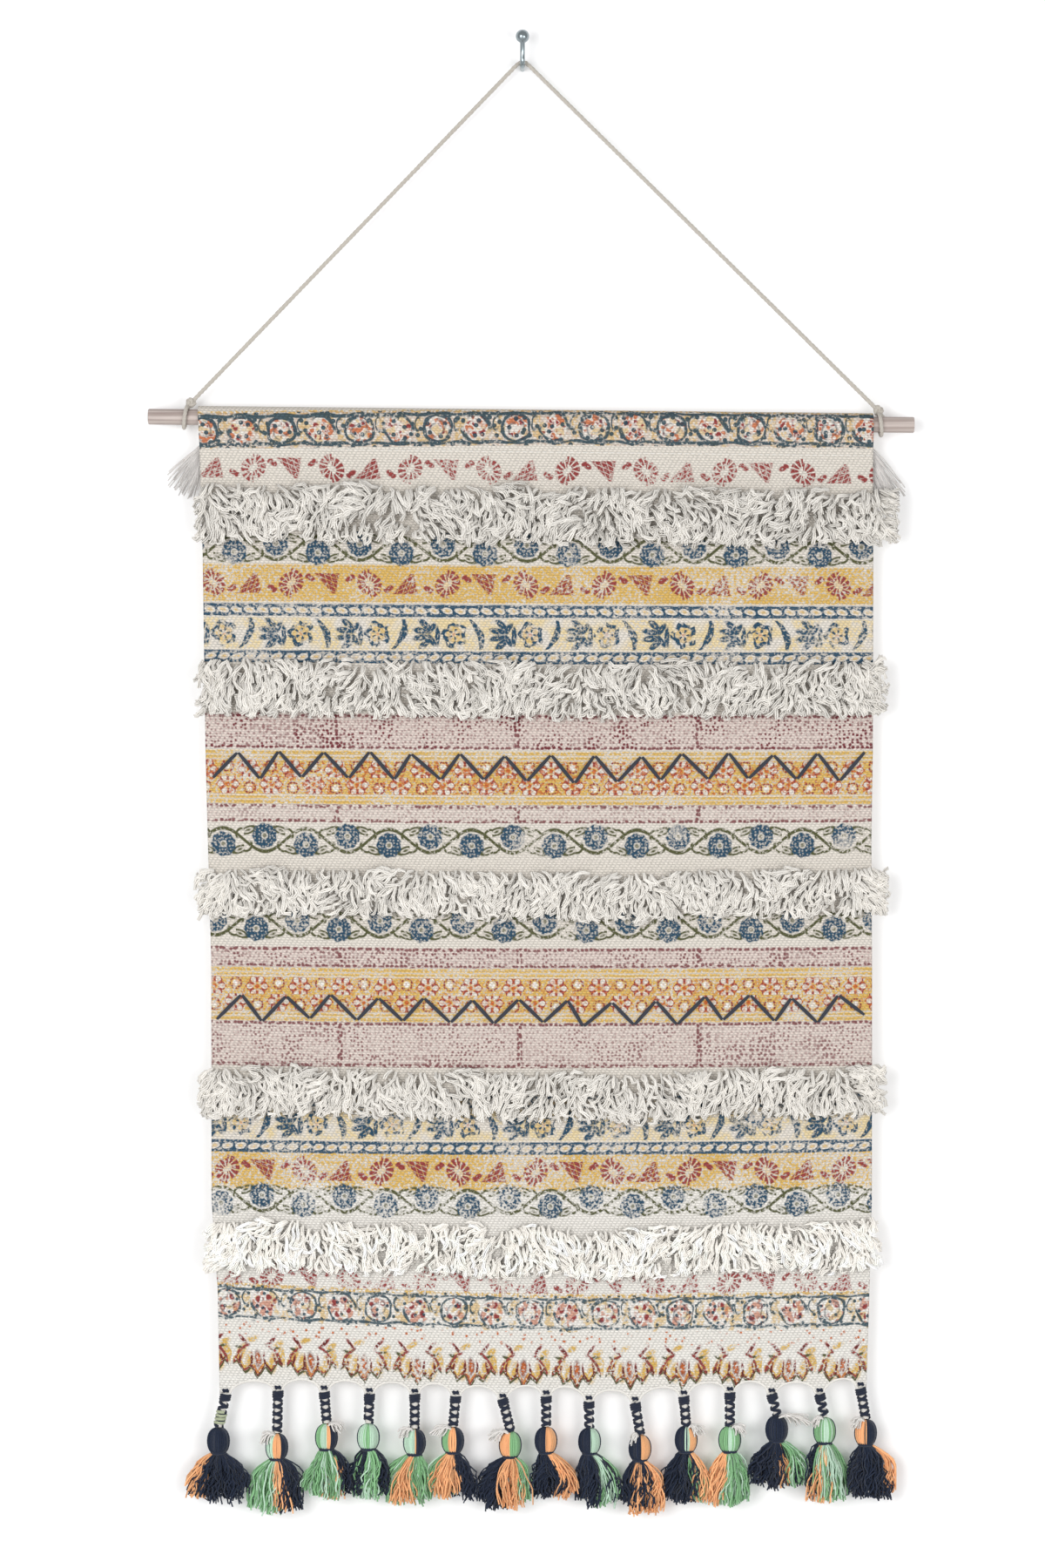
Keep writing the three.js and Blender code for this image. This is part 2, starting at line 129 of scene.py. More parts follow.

# %% [markdown]
# Colours are written as they look on a screen, and turned into the linear values that a shader takes.
# Each finished piece is told which body it moves with and which solids it stands for.

# %% Colours and placing
made_pieces = {}


def linear(red, green, blue):
    """A screen colour, 0 to 255, as the linear colour that a shader takes."""
    part = np.array([red, green, blue]) / 255
    return tuple(np.where(part < 0.04045, part / 12.92, ((part + 0.055) / 1.055) ** 2.4))


def place(obj, slot, *nodes):
    """The finished piece rides on the part and stands for its solids; its slot is not used."""
    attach(obj, "root")
    if nodes:
        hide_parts(*nodes)
    made_pieces[obj.name] = sum(len(p.vertices) - 2 for p in obj.data.polygons)
    print(obj.name, made_pieces[obj.name], "triangles")
    return obj


print("a middle grey in a shader:", round(float(linear(128, 128, 128)[0]), 3))

# %% [markdown]
# The lines go into a mesh of bare points and edges, with their thickness and colour as attributes; the colour
# is the dye, with painted shade on the shag.
# The tree is put on it as a modifier, its result is kept as a plain mesh, and the modifier comes off again.

# %% From lines to yarn
def yarns(name, groups, sides, look):
    """One mesh of yarn from groups of (lines, thickness, dye with any painted shade); lines are yarns by
    points by xyz, in mm.
    """
    points, thick, dyes, edges, count = [], [], [], [], 0
    for lines, radius, dye_and_painted_shade in groups:
        lines = np.asarray(lines, float)
        number, steps = lines.shape[:2]
        points.append(lines.reshape(-1, 3))
        thick.append(np.broadcast_to(np.asarray(radius, float), (number, steps)).ravel())
        dye_and_painted_shade = np.asarray(dye_and_painted_shade, float)
        dye_and_painted_shade = dye_and_painted_shade[:, None, :] if dye_and_painted_shade.ndim == 2 else dye_and_painted_shade
        dyes.append(np.broadcast_to(dye_and_painted_shade, (number, steps, 3)).reshape(-1, 3))
        index = count + np.arange(number * steps).reshape(number, steps)
        edges.append(np.stack([index[:, :-1], index[:, 1:]], -1).reshape(-1, 2))
        count += number * steps
    mesh = bpy.data.meshes.new(name + "_lines")
    mesh.vertices.add(count)
    mesh.vertices.foreach_set("co", np.concatenate(points).ravel() * MM)
    edges = np.concatenate(edges)
    mesh.edges.add(len(edges))
    mesh.edges.foreach_set("vertices", edges.ravel())
    mesh.attributes.new("thick", "FLOAT", "POINT").data.foreach_set("value", np.concatenate(thick) * MM)
    colour = np.ones((count, 4))
    colour[:, :3] = np.concatenate(dyes)
    mesh.attributes.new("dye_and_painted_shade", "FLOAT_COLOR", "POINT").data.foreach_set("color", colour.ravel())
    obj = linked(name, mesh)
    sweep = obj.modifiers.new("yarn", "NODES")
    sweep.node_group = YARN
    sweep[YARN_SIDES] = sides
    sweep[YARN_LOOK] = look
    bpy.context.view_layer.update()
    made = bpy.data.meshes.new_from_object(obj.evaluated_get(bpy.context.evaluated_depsgraph_get()))
    obj.modifiers.clear()
    obj.data = made
    made.name = name
    bpy.data.meshes.remove(mesh)
    return obj


print("lines become yarn by their attributes thick and dye")

# %% [markdown]
# Cotton yarn is dull with a trace of sheen. Its finish reads the yarn's colour, which is dye with painted
# shade on the shag, and a fine noise varies it.
# Every material here starts in the same way, so one helper makes it and hands back what adds nodes and links.

# %% The yarn's finish
def new_look(name, roughness, gloss):
    """A new material, its shader, and the calls that add a node and a link."""
    look = bpy.data.materials.new(name)
    look.use_nodes = True
    shader = look.node_tree.nodes["Principled BSDF"]
    shader.inputs["Roughness"].default_value = roughness
    shader.inputs["Specular IOR Level"].default_value = gloss
    return look, shader, look.node_tree.nodes.new, look.node_tree.links.new


def yarn_look(name, fibre, relief):
    """A dull yarn: its colour, which is dye with painted shade on the shag, a little fibre in its colour and
    a fine relief.
    """
    look, shader, new, link = new_look(name, 0.9, 0.15)
    shader.inputs["Sheen Weight"].default_value = 0.15
    dye_and_painted_shade, place_in, grain = new("ShaderNodeAttribute"), new("ShaderNodeTexCoord"), new("ShaderNodeTexNoise")
    dye_and_painted_shade.attribute_name = "dye_and_painted_shade"
    grain.inputs["Scale"].default_value = fibre
    grain.inputs["Detail"].default_value = 2
    shade = new("ShaderNodeMapRange")
    shade.inputs["To Min"].default_value = 0.82
    shade.inputs["To Max"].default_value = 1.14
    tint, bump = new("ShaderNodeVectorMath"), new("ShaderNodeBump")
    tint.operation = "SCALE"
    bump.inputs["Strength"].default_value = relief
    bump.inputs["Distance"].default_value = 0.0006
    link(place_in.outputs["Object"], grain.inputs["Vector"])
    link(grain.outputs["Fac"], shade.inputs["Value"])
    link(dye_and_painted_shade.outputs["Color"], tint.inputs[0])
    link(shade.outputs[0], tint.inputs["Scale"])
    link(tint.outputs[0], shader.inputs["Base Color"])
    link(grain.outputs["Fac"], bump.inputs["Height"])
    link(bump.outputs[0], shader.inputs["Normal"])
    return look


cord_look = yarn_look("twisted_cotton", 1500, 0.4)
print("finish of the cord:", cord_look.name)

# %% [markdown]
# ## Hanging cord
# The cord is a soft twisted cotton cord, tied round the rod at both ends and laid over the hook.
# Its line comes first: a straight leg from each knot and a small round bend over the hook.
# Three yarns wind round that line, which is how such a cord is really laid.

# %% Cord and its loops
ROD = {"x": 7.75, "y": -16.0, "z": -316.0, "drop": 7.4, "length": 682.0, "radius": 7.0}
CORD = {"diameter": 4.0, "seat_y": -10.0, "seat_z": 4.5, "turn": 8.0}
PLIES = {"count": 3, "radius": 1.12, "lay": 0.9, "pitch": 13.0}
LOOP = {"radius": 9.6, "turns": 1.04, "ply": 1.08, "lay": 0.85, "pitch": 11.0}
LOOPS = [
    {"name": "left", "x": -300.0, "knot_x": -295.5, "lean": 0.16, "tail": -4},
    {"name": "right", "x": 318.5, "knot_x": 316.8, "lean": -0.1, "tail": 4},
]
KNOT = {"rise": 12.5, "wide": 2.3, "lobe": 1.1, "deep": 1.6, "cord_end": 3}
CREAM_CORD = linear(190, 184, 175)


def rod_z(x):
    return ROD["z"] - (x - ROD["x"]) * ROD["drop"] / ROD["length"]


def resample(line, step):
    """The same line with even steps."""
    line = np.asarray(line, float)
    along = np.concatenate([[0], np.cumsum(np.linalg.norm(np.diff(line, axis=0), axis=1))])
    even = np.linspace(0, along[-1], max(3, int(along[-1] / step) + 1))
    return np.stack([np.interp(even, along, line[:, k]) for k in range(3)], -1), along[-1]


def laid(line, count, radius, pitch):
    """Lines that wind round a line, evenly apart, as the yarns of a laid cord do."""
    line = np.asarray(line, float)
    ahead = np.gradient(line, axis=0)
    ahead /= np.linalg.norm(ahead, axis=1, keepdims=True)
    aside = np.cross(ahead, (0.0, 1.0, 0.0))
    aside /= np.linalg.norm(aside, axis=1, keepdims=True)
    out = np.cross(ahead, aside)
    along = np.concatenate([[0], np.cumsum(np.linalg.norm(np.diff(line, axis=0), axis=1))])
    turned = 2 * math.pi * (along[None, :] / pitch + np.arange(count)[:, None] / count)
    return line + radius * (np.cos(turned)[..., None] * aside + np.sin(turned)[..., None] * out)


crest = np.array([0, CORD["seat_y"], CORD["seat_z"] + 0.35 * CORD["turn"]])
knots = [np.array([row["knot_x"], ROD["y"], rod_z(row["knot_x"]) + KNOT["rise"]]) for row in LOOPS]
ways = [(crest - knot) / np.linalg.norm(crest - knot) for knot in knots]
bends = [crest - CORD["turn"] * way for way in ways]
share = np.linspace(0, 1, 25)[:, None]
over_hook = (1 - share) ** 2 * bends[0] + 2 * share * (1 - share) * crest + share**2 * bends[1]
ends = [knot + KNOT["cord_end"] * way for knot, way in zip(knots, ways)]
cord_line, cord_length = resample([ends[0], *over_hook, ends[1]], 2.2)
plies = laid(cord_line, PLIES["count"], PLIES["lay"], PLIES["pitch"])
cord = yarns("cord", [(plies, PLIES["radius"], [CREAM_CORD])], 6, cord_look)
place(cord, "cord", "hanging_cord")

for row, knot in zip(LOOPS, knots):
    angle = np.linspace(0.2, 2 * math.pi * LOOP["turns"], 60)
    across, up = np.sin(angle) * LOOP["radius"], np.cos(angle) * LOOP["radius"]
    ring = np.stack([up * math.sin(row["lean"]), across, up], -1) + [row["x"], ROD["y"], rod_z(row["x"])]
    turn = np.linspace(0, 2 * math.pi, 70)
    wide = KNOT["wide"] + KNOT["lobe"] * np.cos(3 * turn)
    deep = KNOT["deep"] * np.sin(3 * turn)
    tied = knot + np.stack([wide * np.cos(2 * turn), deep, wide * np.sin(2 * turn)], -1)
    tail = np.linspace(knot, knot + [row["tail"], -2, -6], 12)
    parts = [resample(part, 1.4)[0] for part in (ring, tied, tail)]
    twisted = [laid(part, PLIES["count"], LOOP["lay"], LOOP["pitch"]) for part in parts]
    groups = [(lines, LOOP["ply"], [CREAM_CORD]) for lines in twisted]
    loop = yarns("cord_loop." + row["name"], groups, 6, cord_look)
    place(loop, "cord", "cord_loop_" + row["name"])

print("cord length in metres:", round(cord_length * MM, 3))

# %% [markdown]
# ## Rod and hook
# The rod is a plain dowel with softly broken ends, and its grain runs along it.
# The hook is a bent wire with a ball on its upturned tip, plated bright.
# Both are turned or bent shapes, so a ring of points is simply carried along a line.

# %% Rod and hook
def solid_of_faces(name, points_mm, faces, look):
    """A piece from points in millimetres; its four-sided faces are shaded smooth."""
    mesh = bpy.data.meshes.new(name)
    mesh.from_pydata((np.asarray(points_mm, float) * MM).tolist(), [], faces)
    mesh.polygons.foreach_set("use_smooth", [len(face) == 4 for face in faces])
    mesh.materials.append(look)
    return linked(name, mesh)


def lathe(name, centres, radii, look, sides=40):
    """A round solid along a line of centres, each with its radius; both ends are closed."""
    centres = np.asarray(centres, float)
    ahead = np.gradient(centres, axis=0)
    ahead /= np.linalg.norm(ahead, axis=1, keepdims=True)
    side = np.cross(ahead, (0.0, 0.62, 0.78) if abs(ahead[0, 0]) > 0.5 else (1.0, 0.0, 0.0))
    side /= np.linalg.norm(side, axis=1, keepdims=True)
    out = np.cross(ahead, side)
    angle = np.linspace(0, 2 * math.pi, sides, endpoint=False)[None, :, None]
    ring = np.cos(angle) * side[:, None] + np.sin(angle) * out[:, None]
    points = (centres[:, None] + ring * np.asarray(radii, float)[:, None, None]).reshape(-1, 3)
    faces = []
    for k in range(len(centres) - 1):
        for j in range(sides):
            n = (j + 1) % sides
            faces.append([k * sides + j, k * sides + n, (k + 1) * sides + n, (k + 1) * sides + j])
    faces.append(list(range(sides))[::-1])
    faces.append(list(range((len(centres) - 1) * sides, len(centres) * sides)))
    return solid_of_faces(name, points, faces, look)


def wood_look():
    look, shader, new, link = new_look("pale_wood", 0.65, 0.25)
    where, stretch, grain = new("ShaderNodeTexCoord"), new("ShaderNodeMapping"), new("ShaderNodeTexNoise")
    stretch.inputs["Scale"].default_value = (9, 420, 420)
    grain.inputs["Scale"].default_value = 1
    grain.inputs["Detail"].default_value = 4
    colours = new("ShaderNodeValToRGB")
    dark, pale = colours.color_ramp.elements
    dark.position, dark.color = 0.3, (*linear(150, 135, 129), 1)
    pale.position, pale.color = 0.65, (*linear(197, 185, 179), 1)
    link(where.outputs["Object"], stretch.inputs["Vector"])
    link(stretch.outputs[0], grain.inputs["Vector"])
    link(grain.outputs["Fac"], colours.inputs["Fac"])
    link(colours.outputs[0], shader.inputs["Base Color"])
    return look


ROD_END = np.array([
    # how far in from the end, how much thinner there
    (0.0, 0.9),
    (0.25, 0.35),
    (0.9, 0.0),
])
half = ROD["length"] / 2
stops = np.concatenate([ROD_END[:, 0] - half, half - ROD_END[::-1, 0]])
rod_line = np.stack([ROD["x"] + stops, 0 * stops + ROD["y"], rod_z(ROD["x"] + stops)], -1)
rod_radii = ROD["radius"] - np.concatenate([ROD_END[:, 1], ROD_END[::-1, 1]])
place(lathe("dowel", rod_line, rod_radii, wood_look()), "wood", "rod")

HOOK = {"wire": 2.15, "reach": 20.0, "bend": 6.0, "rise": 25.6, "ball": 6.0}
chrome, plating, *_ = new_look("bright_plating", 0.22, 0.5)
plating.inputs["Base Color"].default_value = (*linear(146, 156, 160), 1)
plating.inputs["Metallic"].default_value = 1
straight = np.array([0.0, -1.0, -7.0])
quarter = np.linspace(0, math.pi / 2, 10)
bend_y = -HOOK["reach"] + HOOK["bend"] * (1 - np.sin(quarter))
bend_z = HOOK["bend"] * (1 - np.cos(quarter))
ball_turn = np.linspace(-1.2, math.pi / 2 - 0.05, 18)
ball_z = HOOK["rise"] + HOOK["ball"] * np.sin(ball_turn)
hook_y = np.concatenate([straight, bend_y, np.full(len(ball_z), -HOOK["reach"])])
hook_z = np.concatenate([0 * straight, bend_z, ball_z])
hook_line = np.stack([0 * hook_y, hook_y, hook_z], -1)
wire_radii = np.full(len(straight) + len(bend_y), HOOK["wire"])
hook_radii = np.concatenate([wire_radii, HOOK["ball"] * np.cos(ball_turn)])
place(lathe("ball_hook", hook_line, hook_radii, chrome, 32), "steel", "wall_hook")

# %% [markdown]
# ## Cloth
# The panel is one sheet: it hangs flat with a few soft billows, its foot is cut in scallops between the
# tassels, and its top goes round the rod and is sewn down again behind.
# The sheet is a grid with an outer and an inner layer, whose rows run from the hem up, over the rod and down
# the back.
# Its UV map is the flat cloth in metres, so the print can be drawn as if the cloth lay on a table.

# %% The shape of the cloth
CLOTH = {"thick": 2.6, "gap": 0.4, "seam": 27.0, "flap": 30.0, "rows": 125, "foot": 0.965}
EDGES = np.array([
    # height, left edge, right edge
    (-306, -288.5, 312.0),
    (-440, -284.5, 312.2),
    (-608, -282.0, 311.8),
    (-690, -280.0, 310.4),
    (-795, -277.0, 310.8),
    (-1010, -276.5, 310.8),
    (-1090, -271.0, 308.8),
    (-1180, -269.5, 306.0),
])
BILLOWS = [
    # x, height, half width, half height, how far forward
    (-230, -560, 130, 150, 2.4),
    (110, -660, 170, 140, -2.2),
    (290, -840, 120, 190, 3.2),
    (-110, -900, 180, 150, 1.8),
    (160, -1080, 150, 120, -1.8),
    (-270, -1060, 120, 140, 2.6),
]
SCALLOP = {"height": 11.0, "flat": 3.5}
TASSELS = 15
FLAT_WIDTH = 600.0
SEAM = ROD["z"] - CLOTH["seam"]
LAYER = (CLOTH["thick"] + CLOTH["gap"]) / 2


def corner(node, top):
    """Middle of the topmost or lowest points of a solid, in mm."""
    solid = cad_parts[node]
    points = np.array([solid.matrix_world @ v.co for v in solid.data.vertices]) / MM
    edge = points[:, 2].max() if top else points[:, 2].min()
    return points[np.abs(points[:, 2] - edge) < 2.2].mean(axis=0)


def edge_at(z, side):
    return np.interp(-np.asarray(z, float), -EDGES[:, 0], EDGES[:, 1 if side == "left" else 2])


def place_of(share, z):
    return edge_at(z, "left") + share * (edge_at(z, "right") - edge_at(z, "left"))


def share_of(x, z):
    return (x - edge_at(z, "left")) / (edge_at(z, "right") - edge_at(z, "left"))


stem_tops = np.array([corner(f"stem_{k:02d}", True) for k in range(1, TASSELS + 1)])
stem_feet = np.array([corner(f"stem_{k:02d}", False) for k in range(1, TASSELS + 1)])
root_shares = share_of(stem_tops[:, 0], stem_tops[:, 2])
root_heights = stem_tops[:, 2] + 0.9
MEAN_HEM = root_heights.mean()


def panel_z(share, fall):
    """Real height of a place on the panel: share across, fall from the seam (0) to the hem (1)."""
    tilt = rod_z(place_of(share, ROD["z"])) - ROD["z"]
    sag = np.interp(share, root_shares, root_heights) - MEAN_HEM
    return SEAM + (MEAN_HEM - SEAM) * fall + tilt * (1 - fall) ** 4 + sag * fall


def fall_of(z):
    return (SEAM - z) / (SEAM - MEAN_HEM)


def panel_y(x, z):
    """Middle of the panel's thickness, with its billows and a little cockling."""
    bulge = sum(o * np.exp(-(((x - bx) / w) ** 2) - ((z - bz) / t) ** 2) for bx, bz, w, t, o in BILLOWS)
    into = np.clip((-z - 390) / 90, 0, 1)
    cockle = 0.22 * np.sin(x / 17 + 2 * np.sin(z / 61)) * np.sin(z / 23 + 1.5 * np.sin(x / 47))
    return ROD["y"] - LAYER - (bulge + cockle) * into * into * (3 - 2 * into)


def front(x, z):
    return panel_y(x, z) - CLOTH["thick"] / 2


def hem_z(share):
    """The scalloped foot: a rounded bite between each two neighbouring tassels."""
    place = np.interp(share, root_shares, np.arange(TASSELS), left=-1, right=TASSELS)
    gap = np.interp(place, np.arange(TASSELS - 1) + 0.5, np.diff(stem_tops[:, 0]))
    off = (place % 1 - 0.5) * gap
    reach = gap / 2 - SCALLOP["flat"]
    bite = np.sqrt(np.clip(1 - (off / reach) ** 2, 0, 1))
    bite = np.where((place < 0) | (place > TASSELS - 1), 0, bite)
    return panel_z(share, 1.0) + SCALLOP["height"] * bite


print("mean hem height:", round(MEAN_HEM, 1))

# %% [markdown]
# The grid is filled row by row. On the panel the two layers lie in front of and behind the middle;
# round the rod they lie outside and inside of it.

# %% The cloth's mesh
def cloth_columns():
    """Shares across the cloth, closer together at the scallops' steep ends."""
    steps = np.linspace(0, 1, 11)
    eased = (1 - np.cos(math.pi * steps)) / 2
    parts = [np.linspace(0, root_shares[0], 4)]
    for a, b in zip(root_shares, root_shares[1:]):
        parts.append(a + (b - a) * (0.6 * eased + 0.4 * steps)[1:])
    parts.append(np.linspace(root_shares[-1], 1, 4)[1:])
    return np.concatenate(parts)


def drift(share):
    """How far the print sinks at the hem: the hem's line without its small steps."""
    soft = np.polyfit(root_shares, root_heights - MEAN_HEM, 2)
    return 0.6 * np.polyval(soft, share)


def cloth_mesh():
    share = cloth_columns()
    heights, flat_v, front_rows, back_rows = [], [], [], []
    half = CLOTH["thick"] / 2
    foot = CLOTH["foot"]
    for step in np.linspace(0, 1, 7)[:-1]:
        heights.append(hem_z(share) + (panel_z(share, foot) - hem_z(share)) * step)
        flat_v.append(heights[-1] - drift(share))
    for fall in np.linspace(foot, 0, CLOTH["rows"]):
        tilt = rod_z(place_of(share, ROD["z"])) - ROD["z"]
        heights.append(panel_z(share, fall))
        flat_v.append(heights[-1] - tilt * (1 - fall) ** 4 - drift(share) * fall)
    for z in heights:
        x = place_of(share, z)
        y = panel_y(x, z)
        front_rows.append(np.stack([x, y - half, z], -1))
        back_rows.append(np.stack([x, y + half, z], -1))
    radius = ROD["radius"] + CLOTH["gap"] + half
    reach = CLOTH["seam"]
    lean = math.atan2(reach, LAYER) - math.acos(radius / math.hypot(reach, LAYER))
    touch = np.array([-radius * math.cos(lean), -radius * math.sin(lean)])
    start = np.array([-LAYER, -reach])
    profile, normals = [], []
    for s in np.linspace(0, 1, 8)[1:]:
        profile.append(start + (touch - start) * s)
        normals.append(np.array([-math.cos(lean * s), -math.sin(lean * s)]))
    for turn in np.linspace(math.pi + lean, -lean, 27)[1:]:
        normals.append(np.array([math.cos(turn), math.sin(turn)]))
        profile.append(radius * normals[-1])
    for s in np.linspace(1, 0, 8)[1:]:
        profile.append((start + (touch - start) * s) * [-1, 1])
        normals.append(np.array([math.cos(lean * s), -math.sin(lean * s)]))
    profile.append(np.array([LAYER, -CLOTH["flap"]]))
    normals.append(np.array([1.0, 0.0]))
    along, last = 0.0, start
    for point, normal in zip(profile, normals):
        along += np.linalg.norm(point - last)
        last = point
        base_z = rod_z(place_of(share, ROD["z"]))
        rows = []
        for side in (half, -half):
            y = ROD["y"] + point[0] + side * normal[0]
            z = base_z + point[1] + side * normal[1]
            rows.append(np.stack([place_of(share, z), np.full(len(share), y), z], -1))
        front_rows.append(rows[0])
        back_rows.append(rows[1])
        flat_v.append(np.full(len(share), SEAM + along))
    return share, np.array(front_rows), np.array(back_rows), np.array(flat_v)


def sheet_object(name, share, outer, inner, flat_v, look):
    rows, columns = outer.shape[:2]
    size = rows * columns
    index = np.arange(size).reshape(rows, columns)
    a, b, c, d = index[:-1, :-1], index[:-1, 1:], index[1:, 1:], index[1:, :-1]
    faces = [np.stack([a, b, c, d], -1).reshape(-1, 4), np.stack([d, c, b, a], -1).reshape(-1, 4) + size]
    foot, top, left, right = index[0], index[-1], index[:, 0], index[:, -1]
    faces.append(np.stack([foot[:-1], foot[:-1] + size, foot[1:] + size, foot[1:]], -1))
    faces.append(np.stack([top[:-1], top[1:], top[1:] + size, top[:-1] + size], -1))
    faces.append(np.stack([left[:-1], left[1:], left[1:] + size, left[:-1] + size], -1))
    faces.append(np.stack([right[:-1], right[:-1] + size, right[1:] + size, right[1:]], -1))
    faces = np.concatenate(faces)
    points = np.concatenate([outer.reshape(-1, 3), inner.reshape(-1, 3)])
    obj = solid_of_faces(name, points, faces.tolist(), look)
    flat_u = np.broadcast_to(share * FLAT_WIDTH - FLAT_WIDTH / 2, (rows, columns))
    flat = np.tile(np.stack([flat_u, flat_v], -1).reshape(-1, 2), (2, 1)) * MM
    obj.data.uv_layers.new(name="flat").data.foreach_set("uv", flat[faces.ravel()].ravel())
    side = np.repeat([1.0, 0.0], size)
    obj.data.attributes.new("printed", "FLOAT", "POINT").data.foreach_set("value", side)
    return obj


cloth_grid = cloth_mesh()
print("cloth grid:", cloth_grid[1].shape[:2])

# %% [markdown]
# ## Print
# The cotton was printed by hand with carved blocks, border under border, and the coarse weave takes the ink
# unevenly. One material draws it all from the flat UV map: each motif is a little drawing made of distances,
# repeated across the cloth and set to the heights of the borders that use it.
# A small helper class lets the drawing be written as arithmetic: each sum or product adds one Math node.

# %% Drawing with numbers
print_look, print_shader, new_node, new_link = new_look("block_print", 0.95, 0.1)


class Field:
    """A number that changes over the cloth."""

    def __init__(self, socket):
        self.socket = socket

    def __add__(self, other):
        return maths("ADD", self, other)

    def __sub__(self, other):
        return maths("SUBTRACT", self, other)

    def __mul__(self, other):
        return maths("MULTIPLY", self, other)


def feed(socket, value):
    if isinstance(value, Field):
        new_link(value.socket, socket)
    else:
        socket.default_value = value


def maths(kind, *values):
    node = new_node("ShaderNodeMath")
    node.operation = kind
    for socket, value in zip(node.inputs, values):
        feed(socket, value)
    return Field(node.outputs[0])


def size_of(value):
    return maths("ABSOLUTE", value)


def repeat(value, pitch):
    return maths("WRAP", value, pitch / 2, -pitch / 2)


def blend(scale, value, offset):
    return maths("MULTIPLY_ADD", value, scale, offset)


def length(x, h):
    return maths("SQRT", maths("MULTIPLY_ADD", h, h, x * x))


print("the print is drawn in", print_look.name)

# %% [markdown]
# Shapes come from such numbers: a distance grows from a middle, and a ramp turns it into a soft mask.
# Noise and scattered spots roughen them, and `Paint` lays one ink after another, each by its mask.

# %% Shapes, noise and inks
def oval(x, h, wide, tall, turn=0.0):
    """Distance from the middle of a turned oval, 1 at its rim."""
    c, s = math.cos(turn), math.sin(turn)
    along = blend(c / wide, x, h * (s / wide))
    across = blend(-s / tall, x, h * (c / tall))
    return length(along, across)


def ramp(value, low, high):
    """0 at low, 1 at high."""
    node = new_node("ShaderNodeMapRange")
    for socket, part in zip(node.inputs, (value, low, high)):
        feed(socket, part)
    return Field(node.outputs[0])


def within(value, limit, soft=0.45):
    """1 where the value lies under the limit."""
    return ramp(value, limit + soft, limit - soft)


def close_to(value, middle, limit, soft=0.45):
    """1 where the value lies within the limit of a middle."""
    return within(size_of(value - middle), limit, soft)


def disc(x, h, wide, tall, turn=0.0, soft=0.2):
    """1 inside a turned oval."""
    return within(oval(x, h, wide, tall, turn), 1.0, soft)


def either(*masks):
    made = masks[0]
    for mask in masks[1:]:
        made = maths("MAXIMUM", made, mask)
    return made


def nearest(heights):
    """Height above the nearest of some lines across the cloth, given from the top down."""
    made = V - heights[0]
    for above, below in zip(heights, heights[1:]):
        made = blend(above - below, maths("LESS_THAN", V, (above + below) / 2), made)
    return made


def noise(scale, shift=0.0, detail=1.0):
    node = new_node("ShaderNodeTexNoise")
    node.noise_dimensions = "3D"
    node.inputs["Scale"].default_value = scale
    node.inputs["Detail"].default_value = detail
    spot = new_node("ShaderNodeCombineXYZ")
    feed(spot.inputs[0], U)
    feed(spot.inputs[1], V)
    spot.inputs[2].default_value = shift
    new_link(spot.outputs[0], node.inputs["Vector"])
    return Field(node.outputs["Fac"])


def scatter(pitch, random, shift=0.0):
    """Distance in mm to the nearest of many spots, about a pitch apart and more or less at random."""
    node = new_node("ShaderNodeTexVoronoi")
    node.voronoi_dimensions = "2D"
    node.inputs["Scale"].default_value = 1 / pitch
    node.inputs["Randomness"].default_value = random
    spot = new_node("ShaderNodeCombineXYZ")
    feed(spot.inputs[0], U + shift)
    feed(spot.inputs[1], V)
    new_link(spot.outputs[0], node.inputs["Vector"])
    return Field(node.outputs["Distance"]) * pitch


class Paint:
    """The colour so far; each ink is laid over it by a mask."""

    def __init__(self, colour):
        self.socket, self.colour = None, (*linear(*colour), 1)

    def lay(self, colour, mask):
        node = new_node("ShaderNodeMix")
        node.data_type = "RGBA"
        feed(node.inputs["Factor"], mask)
        if self.socket is None:
            node.inputs[6].default_value = self.colour
        else:
            new_link(self.socket, node.inputs[6])
        node.inputs[7].default_value = (*linear(*colour), 1)
        self.socket = node.outputs[2]


flat_map = new_node("ShaderNodeUVMap")
flat_map.uv_map = "flat"
flat_mm, flat_parts = new_node("ShaderNodeVectorMath"), new_node("ShaderNodeSeparateXYZ")
flat_mm.operation = "SCALE"
flat_mm.inputs["Scale"].default_value = 1000
new_link(flat_map.outputs[0], flat_mm.inputs[0])
new_link(flat_mm.outputs[0], flat_parts.inputs[0])
U, V = Field(flat_parts.outputs[0]), Field(flat_parts.outputs[1])
print("the flat cloth is read in millimetres")

# %% [markdown]
# The cotton and its inks first. The weave is made of short floats that step sideways from row to row, which
# makes a fine slanting rib; ink catches on the floats and misses the hollows.
# A slow noise makes whole patches paler, and the lowest part of the cloth is painted lighter, as painted
# light.

# %% Weave and ink
FLOAT_LONG, FLOAT_HIGH = 3.9, 2.2
INK = {
    "cream": (226, 219, 209),
    "white": (238, 235, 229),
    "yellow": (216, 178, 100),
    "pale_yellow": (229, 209, 165),
    "orange": (198, 108, 60),
    "red": (152, 71, 69),
    "dark_red": (104, 54, 50),
    "blue": (52, 82, 104),
    "teal": (34, 72, 86),
    "olive": (90, 92, 62),
    "pink": (219, 200, 193),
    # The greyish rose below is painted shade for the upper scroll band, which lies on the rod pocket.
    "painted_pocket_shade": (192, 160, 140),
    "stipple": (122, 60, 65),
}
pick = maths("FLOOR", V * (1 / FLOAT_HIGH))
along = repeat(blend(-1.3, pick, U), FLOAT_LONG)
over = blend(-FLOAT_HIGH, pick, V) - FLOAT_HIGH / 2
rib = maths("COSINE", along * (math.pi / FLOAT_LONG)) * maths("COSINE", over * (math.pi / FLOAT_HIGH))
grain = noise(0.36, detail=2.0)
rib = blend(0.9, grain, rib)
